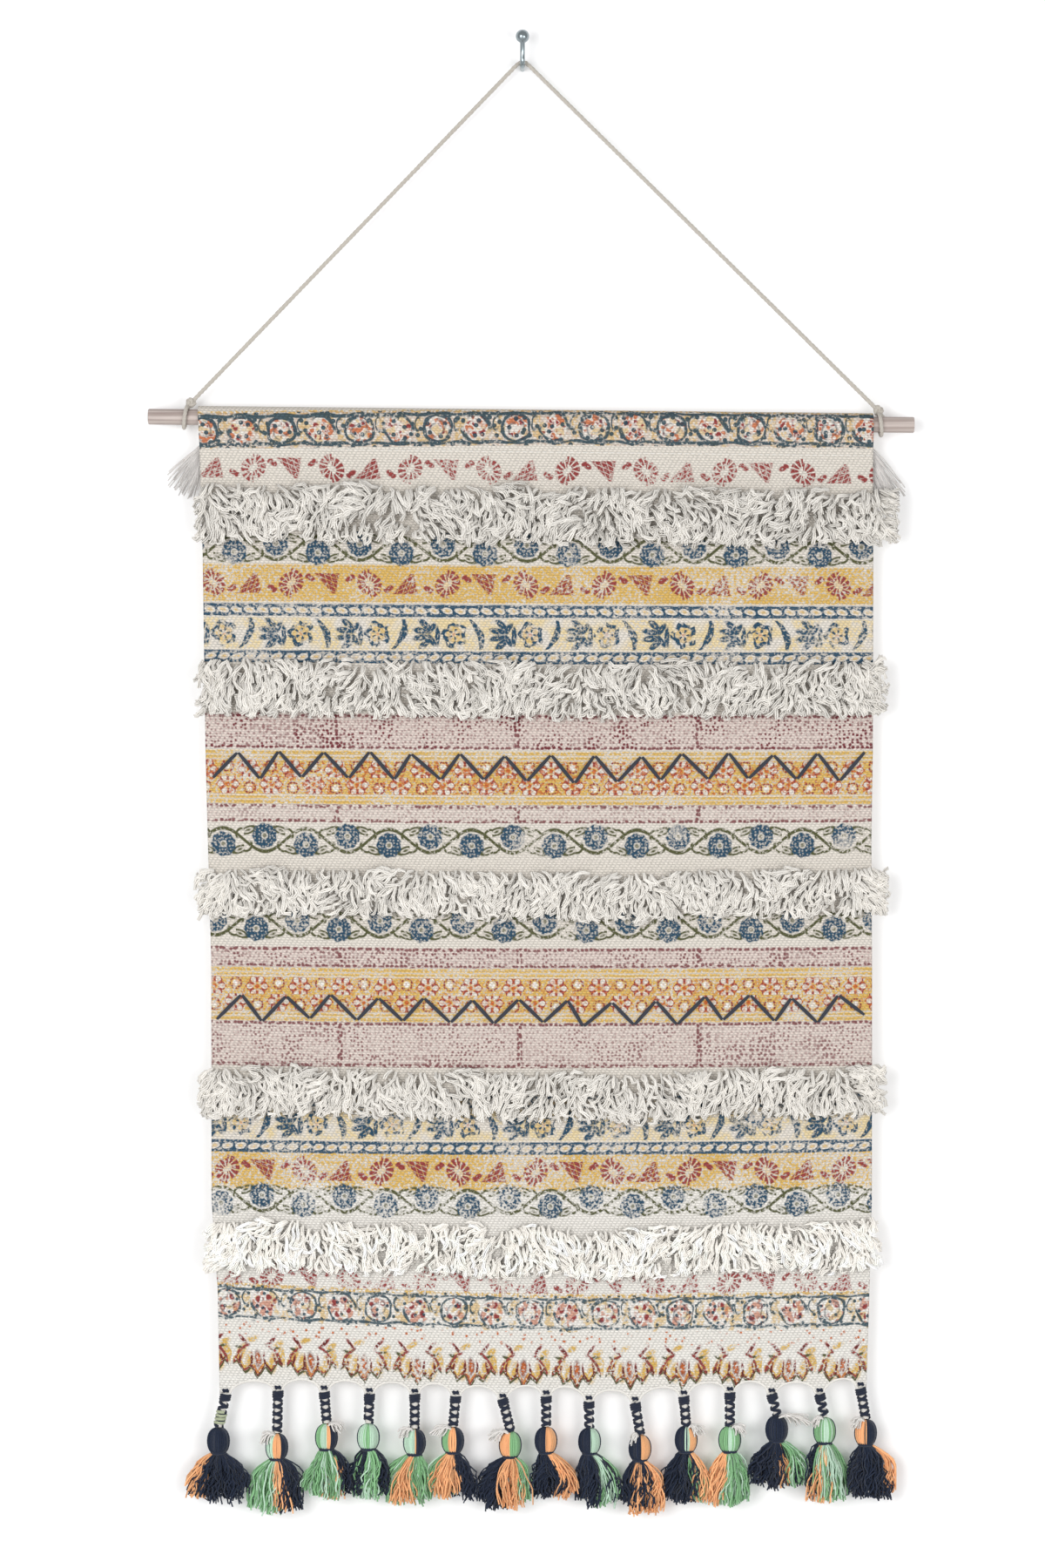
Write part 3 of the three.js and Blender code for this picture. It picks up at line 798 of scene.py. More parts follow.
patch = noise(0.021, 3.0)
wet = blend(0.5, patch, grain) + rib * 0.16
cover = ramp(wet, 0.72, 0.9)
solid_cover = ramp(wet, 0.66, 0.86)
edge_wave = blend(1.8, noise(0.16, 9.0), -0.9)
paint = Paint(INK["cream"])
# Painted light: the cloth from about the lowest vine row down is laid over with white, as if more light fell
# on the lower part.
paint.lay(INK["white"], ramp(V, -985.0, -1005.0) * 0.75)


def by_row(values, heights):
    """One value for each of some lines across the cloth, chosen by the nearest line."""
    made = values[0]
    for k in range(len(values) - 1):
        below = maths("LESS_THAN", V, (heights[k] + heights[k + 1]) / 2)
        made = blend(values[k + 1] - values[k], below, made)
    return made


def start_at(places, heights):
    """U counted from where a row of motifs starts; places are real x on the cloth."""
    flat = [float(share_of(x, z) * FLAT_WIDTH - FLAT_WIDTH / 2) for x, z in zip(places, heights)]
    return U - by_row(flat, heights)


def petal(angle, out, near, far, wide):
    """An almond petal along each ray: below zero inside, zero on its outline."""
    middle, half = (near + far) / 2, (far - near) / 2
    s = blend(1 / half, out, -middle / half)
    swell = maths("SQRT", maths("MAXIMUM", blend(-1.0, s * s, 1.0), 0.0))
    return maths("MULTIPLY", angle, out) - out * swell * wide


print("inks:", len(INK))

# %% [markdown]
# Bands of colour lie under the motifs: two yellow ones for rosettes, two for blossoms, pale yellow in the
# lattice and four of pink stipple, whose dots are boldest along the bands' edges and where two blocks meet.

# %% Colour bands
ROSETTES_CREAM = [-360.4, -1083.0]
ROSETTES_YELLOW = [-462.0, -983.5]
VINES = [-431.0, -690.0, -765.0, -1010.0]
LATTICE = [-506.5, -942.0]
BLOSSOMS = [-634.0, -827.0]
STIPPLE = [
    # middle, half height, strength of the pink, strength of the dots
    (-593.0, 15.5, 0.7, 1.0),
    (-666.0, 7.8, 0.45, 0.45),
    (-793.6, 8.8, 0.7, 0.9),
    (-871.0, 20.0, 0.6, 0.8),
]
SCROLLS = [-321.5, -1109.5]
LOTUS = -1153.0
BLOCK = {"pitch": 163.0, "joint": -20.0}

height = size_of(nearest(ROSETTES_YELLOW))
drier = by_row([0.0, 0.08], ROSETTES_YELLOW)
paint.lay(INK["yellow"], within(height + edge_wave, 16.6, 0.7) * ramp(wet - drier, 0.72, 0.9))
height = size_of(nearest(BLOSSOMS)) + edge_wave
field = within(height, 23.6, 0.7)
stripes = either(close_to(height, 19.6, 0.7), close_to(height, 15.8, 0.7))
paint.lay(INK["yellow"], field * maths("SUBTRACT", 1.0, stripes * 0.8) * cover)
height = size_of(nearest(LATTICE))
paint.lay(INK["pale_yellow"], within(height, 14.0, 0.7) * cover * ramp(noise(0.06, 81.0), 0.38, 0.56))

middles, halves, pinks, dot_inks = zip(*STIPPLE)
inset = by_row(halves, middles) - size_of(nearest(middles)) + edge_wave
pink_field = ramp(inset, -0.6, 0.6)
paint.lay(INK["pink"], pink_field * by_row(pinks, middles))
dots = scatter(3.9, 0.7)
beside = size_of(repeat(U - BLOCK["joint"], BLOCK["pitch"]))
bold = either(within(inset, 3.0, 0.6), within(beside, 2.6, 0.8), ramp(patch, 0.5, 0.7) * 0.6)
dot_ink = within(dots - blend(0.8, bold, 0.95) - blend(3.0, grain, -1.5), 0.0, 0.5)
faint = blend(0.5, ramp(noise(0.045, 71.0), 0.42, 0.58), 0.5) * by_row(dot_inks, middles)
paint.lay(INK["stipple"], dot_ink * pink_field * either(faint, bold * 0.9))
print("colour bands drawn")

# %% [markdown]
# Rosettes: a ring of wedge petals, and between each two a slanting triangle with little leaves beside it,
# up and down in turn. The lower row climbs a little at the left, as the borders below it do.

# %% Rosettes
ROSETTE_PITCH = 70.0
heights = sorted(ROSETTES_CREAM + ROSETTES_YELLOW, reverse=True)
left_part = ramp(U, 20.0, -300.0)
above = nearest(heights) + edge_wave - left_part * by_row([0.0, 0.0, 0.0, 5.5], heights)
run = start_at([-239.5, -205.7, 11.6, 48.4], heights)
across = repeat(run, ROSETTE_PITCH)
flip = blend(2.0, maths("LESS_THAN", repeat(run, 2 * ROSETTE_PITCH), 0.0), -1.0)
rosette_h = blend(1.6, flip, above)
out = length(across, rosette_h)
turn = size_of(repeat(maths("ARCTAN2", rosette_h, across), 2 * math.pi / 12))
petals = within(turn, 0.185, 0.05) * close_to(out, 7.6, 3.6)
beside_x = repeat(run - ROSETTE_PITCH / 2, ROSETTE_PITCH)
beside_h = above * maths("SIGN", repeat(run, 2 * ROSETTE_PITCH))
slanted = blend(0.35, beside_h, beside_x)
triangle = within(size_of(slanted) - blend(0.55, beside_h, 6.4), 0.0, 0.8) * within(size_of(beside_h), 9.0)
step_h = repeat(blend(0.5, slanted, beside_h), 4.8)
step_x = repeat(slanted, 5.0)
leaves = within(size_of(step_h), 2.1) * within(size_of(step_x), 2.3)
leaf = either(
    disc(size_of(beside_x) - 17.0, beside_h - 4.0, 3.8, 2.4, 0.5),
    disc(size_of(beside_x) - 20.0, beside_h - 6.2, 2.8, 1.8, -0.6),
)
rows = within(size_of(above), 14.5)
drier = by_row([0.0, 0.0, 0.0, 0.12], heights)
paint.lay(INK["cream"], within(out, 8.0, 1.0) * rows * 0.45)
paint.lay(INK["red"], either(petals, triangle * leaves, leaf) * rows * ramp(wet - drier, 0.67, 0.86))
print("rosettes drawn")

# %% [markdown]
# The vine: blue flowers set high and low in turn, an olive stalk that winds round them, and outlined leaves.

# %% Vine
FLOWER_PITCH = 37.4
above = nearest(VINES)
run = start_at([3.9, -8.5, 20.0, -12.0], VINES)
swing = maths("COSINE", run * (math.pi / FLOWER_PITCH))
rows = within(size_of(above), 15.0)
stalk = within(size_of(blend(10.2, swing, above)), 1.7, 0.5)
across = repeat(run, FLOWER_PITCH)
sign = maths("SIGN", swing)
flower_h = blend(-3.9, sign, above)
out = length(across, flower_h)
rim = blend(0.5, maths("COSINE", maths("ARCTAN2", flower_h, across) * 9.0), out)
leaf_x = size_of(across) - 14.8
leaf_h = above * sign - 8.6
ring = oval(leaf_x, leaf_h, 8.2, 3.5, -0.35)
leaf = either(close_to(ring, 0.8, 0.24, 0.12), within(ring, 0.3, 0.15))
tendril_out = length(size_of(across) - 17.5, above * sign + 4.5)
tendril = close_to(tendril_out, 5.6, 1.1) * ramp(leaf_h, -9.0, -11.0)
ink = ramp(wet - by_row([0.0, 0.0, 0.02, 0.08], VINES), 0.66, 0.86)
paint.lay(INK["olive"], either(stalk * ramp(rim, 10.0, 11.0), leaf, tendril) * rows * ink)
flower = within(rim, 11.0, 0.6) * ramp(out, 2.4, 3.6)
flecks = ramp(scatter(3.3, 0.5, 7.0), 0.5, 1.1)
paint.lay(INK["blue"], flower * blend(0.5, flecks, 0.5) * ink * ramp(patch, 0.16, 0.38))
paint.lay(INK["olive"], within(out, 2.0, 0.6) * rows * cover * 0.8)
print("vines drawn")

# %% [markdown]
# The lattice border: a chain of pale seeds between two lines above and below, and slashes, leaf clusters and
# round flowers between them.

# %% Lattice border
UNIT = 68.7
above = nearest(LATTICE) + edge_wave
run = blend(2.6, noise(0.2, 83.0), start_at([-241.1, -226.3], LATTICE))
across = repeat(run - UNIT / 2, UNIT) + UNIT / 2
rail_h = size_of(above) - 20.6
seed = oval(repeat(blend(0.5, rail_h, run), 11.8), rail_h, 4.8, 2.9)
chain = ramp(seed, 0.9, 1.1) * within(size_of(rail_h), 3.9)
rails = either(close_to(size_of(rail_h), 4.4, 1.05), chain)
paint.lay(INK["yellow"], within(seed, 0.5, 0.25) * cover * 0.8)
lean = maths("SIGN", repeat(run + UNIT / 2, 2 * UNIT))
inside_row = within(size_of(above), 13.2)
slash_x = repeat(run, UNIT)
slash_h = above * lean
bow = blend(0.025, slash_h * slash_h, slash_h * -0.36)
slash = within(size_of(slash_x + bow) + size_of(above) * 0.16, 3.6) * inside_row
mirrored = size_of(above)
leaf_a = oval(across - 15.5, mirrored - 3.0, 6.5, 2.5, -0.15)
leaf_b = oval(across - 19.5, mirrored - 8.4, 6.8, 2.6, -0.75)
leaf_c = oval(across - 25.5, mirrored - 5.2, 5.2, 2.2, 1.0)
bud = oval(across - 30.5, above + 1.5, 1.9, 7.6)
leaves = either(*[within(leaf, 1.15, 0.2) * ramp(leaf, 0.0, 0.25) for leaf in (leaf_a, leaf_b, leaf_c, bud)])
flower_x = across - 45.5
flower_out = length(flower_x, above)
flower_angle = maths("ARCTAN2", above, flower_x)
scallops = blend(1.3, maths("COSINE", flower_angle * 5.0), flower_out)
broken = ramp(noise(0.16, 87.0), 0.4, 0.48)
flower = close_to(scallops, 9.0, 2.1) * inside_row * broken
spokes = within(size_of(repeat(flower_angle, 2 * math.pi / 5)), 0.26, 0.06)
small_petals = spokes * close_to(flower_out, 3.6, 1.6)
ink = ramp(wet, 0.68, 0.92)
paint.lay(INK["yellow"], close_to(flower_out, 5.0, 2.2) * inside_row * ink * 0.6)
paint.lay(INK["blue"], either(rails, slash, leaves * inside_row, flower, small_petals) * ink)
paint.lay(INK["orange"], within(flower_out, 1.6) * cover * inside_row * 0.5)
print("lattice drawn")

# %% [markdown]
# The blossom bands: pale six-petalled blossoms on yellow, outlined in orange with red dots, and small ones
# between.

# %% Blossoms
BLOSSOM_PITCH = 38.8
above = nearest(BLOSSOMS)
rows = within(size_of(above), 15.0, 0.8)
upper = maths("GREATER_THAN", above, 0.0)
run = blend(BLOSSOM_PITCH / 2, upper, start_at([-262.0, -255.0], BLOSSOMS))
across = repeat(run, BLOSSOM_PITCH)
row_h = size_of(above) - 6.6
out = length(across, row_h)
turn = size_of(repeat(maths("ARCTAN2", row_h, across), 2 * math.pi / 6))
outline = petal(turn, out, 2.4, 9.6, 0.5)
fill = within(outline, -0.2, 0.6) * ramp(out, 2.6, 3.6)
paint.lay(INK["cream"], fill * rows * ramp(grain, 0.34, 0.46))
between = length(repeat(run + BLOSSOM_PITCH / 2, BLOSSOM_PITCH), row_h - 3.0)
paint.lay(INK["white"], within(between, 2.8, 0.7) * rows * cover)
speck = ramp(noise(0.3, 12.0), 0.54, 0.62) * by_row([0.85, 0.45], BLOSSOMS)
line = within(size_of(outline), 1.0, 0.5) * ramp(out, 3.0, 4.2) * within(out, 11.0)
paint.lay(INK["orange"], either(speck, within(out, 2.0), line) * rows * ramp(wet, 0.66, 0.84))
beads = within(size_of(outline), 0.9, 0.5) * ramp(out, 3.4, 4.6) * within(out, 10.0)
ring = close_to(between, 4.8, 0.9)
paint.lay(INK["red"], either(beads, ring) * ramp(scatter(2.7, 0.4), 1.5, 0.9) * rows)
print("blossoms drawn")

# %% [markdown]
# The scroll borders: outlined coils that open to one side and the other, with red, orange and yellow blots in
# them. The outline is heavier in some places than in others, as a hand-held block prints it.

# %% Scrolls
SCROLL_PITCH = 34.8
slope = left_part * by_row([7.0, -7.5], SCROLLS)
above = blend(2.0, noise(0.09, 31.0), nearest(SCROLLS) + slope - 1.0)
run = blend(6.0, noise(0.06, 37.0), start_at([-72.4, 9.3], SCROLLS))
across = repeat(run, SCROLL_PITCH)
side = maths("SIGN", repeat(run, 2 * SCROLL_PITCH))
turned_x, turned_h = across * side, above * side
rows = within(size_of(above), 16.0)
out = length(across, above)
angle = maths("ARCTAN2", turned_h, turned_x)
lobed = blend(0.4, maths("COSINE", angle * 5.0), out)
press = blend(2.6, noise(0.11, 43.0), by_row([0.25, -0.2], SCROLLS))
coil = close_to(lobed, 12.2, press) * ramp(size_of(angle - 2.6), 0.3, 0.6)
inner = within(size_of(blend(-1.4, angle, out) - 6.6), 0.8) * ramp(turned_x, -1.0, 2.0)
rail = size_of(above) - blend(0.7, maths("COSINE", run * (2 * math.pi / SCROLL_PITCH)), 12.8)
between_x = repeat(run - SCROLL_PITCH / 2, SCROLL_PITCH)
hook = within(size_of(length(between_x * 1.5, above * 0.8 - 3.5) - 4.6), 1.0) * ramp(between_x, 3.0, 0.0)
shade = noise(0.1, 41.0)
blotch = noise(0.21, 47.0)
blots = [(-5.2, 3.6, 3.6), (-2.4, -6.0, 3.2), (4.2, 5.0, 2.8), (-8.5, -2.6, 2.4), (7.0, -3.5, 2.4)]
blobs = either(*[within(length(turned_x - x, turned_h - h), wide, 0.8) for x, h, wide in blots])
warm = either(
    disc(across - 7.5, turned_h + 4.0, 3.0, 5.5, 0.4, soft=0.3),
    close_to(between_x, 1.0, 3.4) * within(size_of(above), 11.0) * ramp(grain, 0.4, 0.54),
)
ink = ramp(wet - by_row([-0.02, 0.02], SCROLLS), 0.64, 0.84)
paint.lay(INK["yellow"], close_to(above, 15.6, 1.8) * ramp(grain, 0.46, 0.56) * 0.9)
# Painted shade: the upper scroll band, on the rod pocket, is darkened with a mottled greyish rose as the
# pocket's shade.
paint.lay(INK["painted_pocket_shade"], rows * ramp(grain, 0.4, 0.6) * by_row([0.6, 0.0], SCROLLS))
paint.lay(INK["white"], within(lobed, 11.6) * by_row([0.55, 0.9], SCROLLS))
yellow = either(warm * ramp(shade, 0.36, 0.46), ramp(shade, 0.58, 0.62)) * rows * ink
paint.lay(INK["yellow"], yellow * by_row([0.6, 0.7], SCROLLS))
orange = ramp(shade, 0.52, 0.47) * within(out, 12.0) * ramp(blotch, 0.46, 0.55)
paint.lay(INK["orange"], orange * by_row([0.9, 0.7], SCROLLS))
paint.lay(INK["red"], blobs * ramp(blotch + by_row([0.06, 0.0], SCROLLS), 0.54, 0.45) * rows)
dots = ramp(scatter(9.0, 0.9, 61.0) + by_row([-0.5, 0.0], SCROLLS), 1.8, 1.3)
lines = either(coil, inner * 0.6, hook, within(size_of(rail), press), dots)
paint.lay(INK["teal"], lines * rows * ink * 0.92)
print("scrolls drawn")

# %% [markdown]
# The lotus row at the foot: an orange flame between upright petals, a zigzag of petal tips below and strokes
# that curl up at both sides. A second block of yellow lies a little to the right. Most of it is ovals.

# %% Lotus row
LOTUS_PITCH = 49.2
run = blend(4.0, noise(0.08, 51.0), start_at([3.0], [LOTUS]))
across = repeat(run, LOTUS_PITCH)
beside = size_of(across)
above = blend(3.0, noise(0.1, 57.0), V - LOTUS - 1.5 - left_part * 7.5)
rim = within(beside, 22.5)
paint.lay(INK["white"], ramp(above, -19.0, -24.0))
zig = size_of(repeat(across, 12.3))
tooth = above - blend(0.4, beside, blend(1.25, zig, -23.6))
over_teeth = ramp(tooth, 0.0, 0.6)
flame = oval(across, above + 6.0, 2.8, 7.0)
stamen = oval(beside - 5.9, above + 8.5, 1.2, 8.5, 0.06)
leaning = oval(beside - 16.2, above + 8.0, 1.2, 8.0, 0.25)
dome = within(size_of(length(across, above + 13.0) - 21.0), 1.2) * ramp(beside, 7.0, 9.0) * over_teeth
curl = oval(beside - 13.0, above - 10.5, 1.6, 6.2, -0.7)
tongue = oval(beside - 16.0, above - 3.6, 1.3, 4.4, -1.25)
patch_x = across - 3.2
yellow = either(
    disc(size_of(patch_x) - 10.8, above + 9.0, 3.8, 8.5, soft=0.3),
    disc(size_of(patch_x) - 18.8, above + 2.0, 3.6, 9.5, 0.4, soft=0.3),
    disc(patch_x + 8.0, above - 12.0, 5.0, 2.4, 0.4, soft=0.3),
    disc(patch_x - 16.0, above - 8.0, 5.0, 2.6, 0.5, soft=0.3),
    close_to(tooth, 4.0, 2.6) * rim,
)
paint.lay(INK["yellow"], yellow * cover)
paint.lay(INK["white"], disc(across, above - 4.5, 8.5, 5.0, soft=0.3) * 0.7)
glow = close_to(tooth, 5.0, 2.4) * within(beside, 4.0) * 0.7
paint.lay(INK["orange"], either(within(flame, 0.9, 0.2), glow) * cover)
leaves = either(within(size_of(tooth), 1.3) * rim, within(tongue, 1.0, 0.3), dome * ramp(shade, 0.46, 0.56))
paint.lay(INK["olive"], leaves * solid_cover)
strokes = either(*[within(shape, 1.0, 0.25) for shape in (stamen, leaning, curl)])
inside = close_to(tooth, 2.4, 1.1) * rim
paint.lay(INK["red"], either(strokes * over_teeth, dome, inside) * cover)
dark = either(*[within(shape, size, 0.2) for shape, size in ((stamen, 0.7), (curl, 0.6), (leaning, 0.6))])
dark = either(dark, close_to(flame, 0.9, 0.14))
paint.lay(INK["dark_red"], either(dark * over_teeth, inside * ramp(shade, 0.48, 0.54)) * cover)
seeds = either(within(scatter(10.0, 0.9, 5.0), 1.2), within(scatter(12.0, 0.9, 45.0), 1.1))
paint.lay(INK["orange"], seeds * close_to(above, 21.0, 6.0) * cover)
print("lotus row drawn")

# %% [markdown]
# Last the material is closed: the colour is dimmed and the hollows of the weave are darkened as painted
# shade, the floats rise a little, and the plain back shows the print only faintly.

# %% Cotton
face, sides = new_node("ShaderNodeAttribute"), new_node("ShaderNodeMix")
face.attribute_name = "printed"
sides.data_type = "RGBA"
faint = new_node("ShaderNodeMix")
faint.data_type = "RGBA"
faint.inputs["Factor"].default_value = 0.85
new_link(paint.socket, faint.inputs[6])
faint.inputs[7].default_value = (*linear(*INK["cream"]), 1)
new_link(face.outputs["Fac"], sides.inputs["Factor"])
new_link(faint.outputs[2], sides.inputs[6])
new_link(paint.socket, sides.inputs[7])
# Painted shade: the colour is scaled down everywhere, and most in the weave's hollows, where the rib is low.
painted_weave_shade = new_node("ShaderNodeVectorMath")
painted_weave_shade.operation = "SCALE"
new_link(sides.outputs[2], painted_weave_shade.inputs[0])
feed(painted_weave_shade.inputs["Scale"], blend(0.4, ramp(rib, 0.2, 1.3), 0.58))
new_link(painted_weave_shade.outputs[0], print_shader.inputs["Base Color"])
bump = new_node("ShaderNodeBump")
bump.inputs["Strength"].default_value = 0.8
bump.inputs["Distance"].default_value = 0.0008
feed(bump.inputs["Height"], rib)
new_link(bump.outputs[0], print_shader.inputs["Normal"])
cloth = sheet_object("cloth_print", *cloth_grid, print_look)
place(cloth, "printed_cotton", "cloth")
print("nodes in the print:", len(print_look.node_tree.nodes))

# %% [markdown]
# ## Zigzag stitches and seams
# A thick dark yarn is sewn in a zigzag along the blossom bands; each stroke is one long stitch whose ends dip
# into the cloth, so pale gaps show at the turns. Small cream stitches hold the pocket for the rod,
# and a rolled cream edge follows the scallops.

# %% Stitches
NAVY = linear(38, 44, 60)
CREAM = linear(226, 223, 217)
ZIGZAGS = [
    {"name": "upper", "peak": -612.0, "valley": -636.0, "start": -276.0, "end": 305.0, "strokes": 29},
    {"name": "lower", "peak": -829.5, "valley": -851.0, "start": -272.0, "end": 304.0, "strokes": 28},
]
STITCH = {"points": 9, "lift": 1.5, "sunk": 0.35, "radius": 1.75}
SEAM_STITCH = {"pitch": 6.0, "long": 3.6, "radius": 0.45}
CHARCOAL = linear(58, 61, 70)
HEM_ROLL = 1.6
dark_look = yarn_look("sewing_yarn", 900, 0.6)
rng = np.random.default_rng(11)


def on_front(x, z, lift):
    return np.stack([x, front(x, z) - lift, z], -1)


for row in ZIGZAGS:
    turns = row["strokes"] + 1
    x = np.linspace(row["start"], row["end"], turns) + rng.normal(0, 2.0, turns)
    level = np.where(np.arange(turns) % 2 == 0, row["valley"], row["peak"]) + rng.normal(0, 0.9, turns)
    z = panel_z(share_of(x, level), fall_of(level))
    step = np.linspace(0.035, 0.965, STITCH["points"])
    run_x = x[:-1, None] + np.diff(x)[:, None] * step
    run_z = z[:-1, None] + np.diff(z)[:, None] * step
    lift = STITCH["lift"] * np.sin(math.pi * step) ** 0.4 - STITCH["sunk"]
    swell = np.sin(math.pi * np.linspace(0.12, 0.88, STITCH["points"])) ** 0.35
    thick = STITCH["radius"] * swell
    lines = on_front(run_x, run_z, lift[None, :])
    stitched = yarns("zigzag." + row["name"], [(lines, thick[None, :], [CHARCOAL])], 7, dark_look)
    place(stitched, "stem_yarn")

place_x = np.arange(-282, 308, SEAM_STITCH["pitch"])
seam_z = rod_z(place_x) - CLOTH["seam"] - 1.0
dash = np.stack([place_x, place_x + SEAM_STITCH["long"] / 2, place_x + SEAM_STITCH["long"]], 1)
dash_z = np.repeat(seam_z[:, None], 3, 1)
dash_lines = np.stack([dash, front(dash, dash_z) - [[-0.1, 0.35, -0.1]], dash_z], -1)
roll_share = np.linspace(0.002, 0.998, 700)
roll_z = hem_z(roll_share)
roll_x = place_of(roll_share, roll_z)
roll = np.stack([roll_x, panel_y(roll_x, roll_z), roll_z], -1)[None]
groups = [(dash_lines, SEAM_STITCH["radius"], [CREAM]), (roll, HEM_ROLL, [CREAM])]
seams = yarns("seam_stitches", groups, 6, dark_look)
place(seams, "warp_yarn")

# %% [markdown]
# ## Shag rows
# Each row is a strip of knotted cotton pile. Short ropes of three loosely twisted yarns leave the cloth, turn
# over and lie mostly down, swirling to one side or the other; at both ends they stick out past the cloth.
# Every rope starts at a knot on the cloth. Heading, length and curl are drawn at random from a fixed seed.
# Ropes that lie deep, and each rope near its knot, are darker as painted shade.

# %% Shag
SHAG_ROWS = [
    # top, bottom, left, right, swirl, yarn radius, depth, brightness
    (-372, -426, -294, 336, 1.25, 1.05, 12.0, 0.9),
    (-527, -580, -293, 326, 1.05, 1.0, 11.0, 0.93),
    (-713, -758, -292, 327, 0.95, 0.92, 9.5, 0.97),
    (-890, -936, -290, 325, 0.95, 0.92, 9.5, 0.97),
    (-1027, -1075, -284, 324, 0.9, 0.9, 9.0, 1.18),
]
SHAG = {"ropes": 1500, "points": 4}
SHAG_DYE = linear(243, 239, 232)
shag_look = yarn_look("shag_cotton", 700, 0.5)


def rope_headings(x, down, row, rng):
    """Which way each rope lies, in radians from straight down: swirls, and outwards at both ends."""
    left, right, swirl = row[2:5]
    bands = zip((0.6, 0.5, 0.3), (31, 14, 8), (0.5, -0.9, 0.8), rng.uniform(0, 6, 3))
    flow = sum(a * np.sin(x / long + 4 * tall * down + phase) for a, long, tall, phase in bands)
    own_way = flow * rng.uniform(0.5, 1.5, len(x)) + rng.normal(0, 0.24, len(x))
    heading = swirl * (1.35 - 0.5 * down) * own_way
    return heading + 1.1 * np.clip((x - right + 40) / 29, 0, 1) - 1.1 * np.clip((left + 38 - x) / 29, 0, 1)


def shag_lines(row, seed):
    top, bottom, left, right, _, radius, deep, bright = row
    rng = np.random.default_rng(seed)
    count, steps = SHAG["ropes"], SHAG["points"]

    def column(low, high):
        return rng.uniform(low, high, (count, 1))

    first, last = left + 9, right - 11
    x = rng.uniform(first - 25, last + 25, count)
    x = np.where(x < first, 2 * first - x, np.where(x > last, 2 * last - x, x))
    down = rng.uniform(0, 1, count)
    start = (top - 2.5 - down * (top - bottom - 10))[:, None]
    t = np.linspace(0, 1, steps)[None, :]
    crimp = column(0.1, 0.6) * np.sin(2 * math.pi * (column(0.6, 1.3) * t + column(0, 1)))
    hooked = rng.normal(0, 1.1, (count, 1)) * np.clip(t - 0.4, 0, 1)
    bent = rope_headings(x, down, row, rng)[:, None] * (1 - 0.3 * t) + crimp + hooked
    step = column(10, 20) / (steps - 1)
    px = x[:, None] + np.cumsum(step * np.sin(bent), axis=1) - step * np.sin(bent[:, :1])
    pz = start - np.cumsum(step * np.cos(bent), axis=1) + step * np.cos(bent[:, :1])
    past = np.maximum(np.maximum(left + 7 - px, px - right + 7), 0)
    px = px + np.sign(x)[:, None] * (8 * (1 - np.exp(-past / 8)) - past)
    pz = np.clip(pz, bottom + column(-3, 5), top + column(-4, 2))
    body = 0.5 + 0.5 * np.sin(math.pi * np.clip(0.2 + 0.68 * down, 0, 1))
    lump = 0.85 + 0.18 * np.sin(x / 17 + 2 * seed) * np.sin(x / 37 + seed)
    level = 1 - 0.75 * column(0, 1) ** 1.6
    rise = (deep * body * lump)[:, None] * level * np.clip(np.sin(math.pi * (0.1 + 0.62 * t)), 0, 1)
    thick = radius * column(0.85, 1.15) * (1 - 0.2 * t**3)
    # Painted shade: ropes that lie deep and the parts near their knots are darker; the first factor is random
    # tone.
    shade = column(0.9, 1.06) * (0.72 + 0.28 * level * (0.3 + 0.7 * np.sin(math.pi * (0.12 + 0.5 * t))))
    strands, turned = [], 2 * math.pi * (column(0.2, 0.6) * t + column(0, 1))
    for ply in range(3):
        aside = radius * (0.75 + 0.6 * t) * np.cos(turned + ply * 2.1)
        sx, sz = px + aside * np.cos(bent), pz + aside * np.sin(bent)
        sz = panel_z(share_of(np.clip(sx, -268, 304), sz), fall_of(sz))
        lift = 1.5 + rise + 0.8 * radius * (1 + np.sin(turned + ply * 2.1))
        strands.append(np.stack([sx, front(sx, sz) - lift, sz], -1))
    # The colour is the shag's dye times the row's brightness, random tone and painted shade.
    dye_and_painted_shade = np.minimum(bright * shade[..., None] * np.array(SHAG_DYE), 0.97)
    return np.concatenate(strands), np.concatenate([thick] * 3), np.concatenate([dye_and_painted_shade] * 3)


for number, row in enumerate(SHAG_ROWS, 1):
    pile = yarns(f"shag.{number}", [shag_lines(row, 40 + number)], 3, shag_look)
    place(pile, "shag_yarn", f"shag_row_{number}")

# %% [markdown]
# ## Pocket fringe
# The cloth's own warp ends hang behind the pocket seam as a grey-cream fringe.
# From the front only the tufts at both sides are seen, where the ends fan out past the edge.

# %% Pocket fringe
FRINGE = {"top": 17.0, "long": 52.0, "reach": 38.0, "y": -14.2, "radius": 0.7}
WARP_ENDS = [
    # from x, to x, number of ends, which way they fan out
    (-281, -273, 60, -1.0),
    (-272, 298, 150, 0.0),
    (299, 308, 60, 1.0),
]
fringe_look = yarn_look("warp_ends", 900, 0.4)
rng = np.random.default_rng(23)
at = np.concatenate([rng.uniform(low, high, number) for low, high, number, _ in WARP_ENDS])
outward = np.concatenate([np.full((number, 1), way) for _, _, number, way in WARP_ENDS])
count = len(at)


def draw(low, high):
    return rng.uniform(low, high, (count, 1))


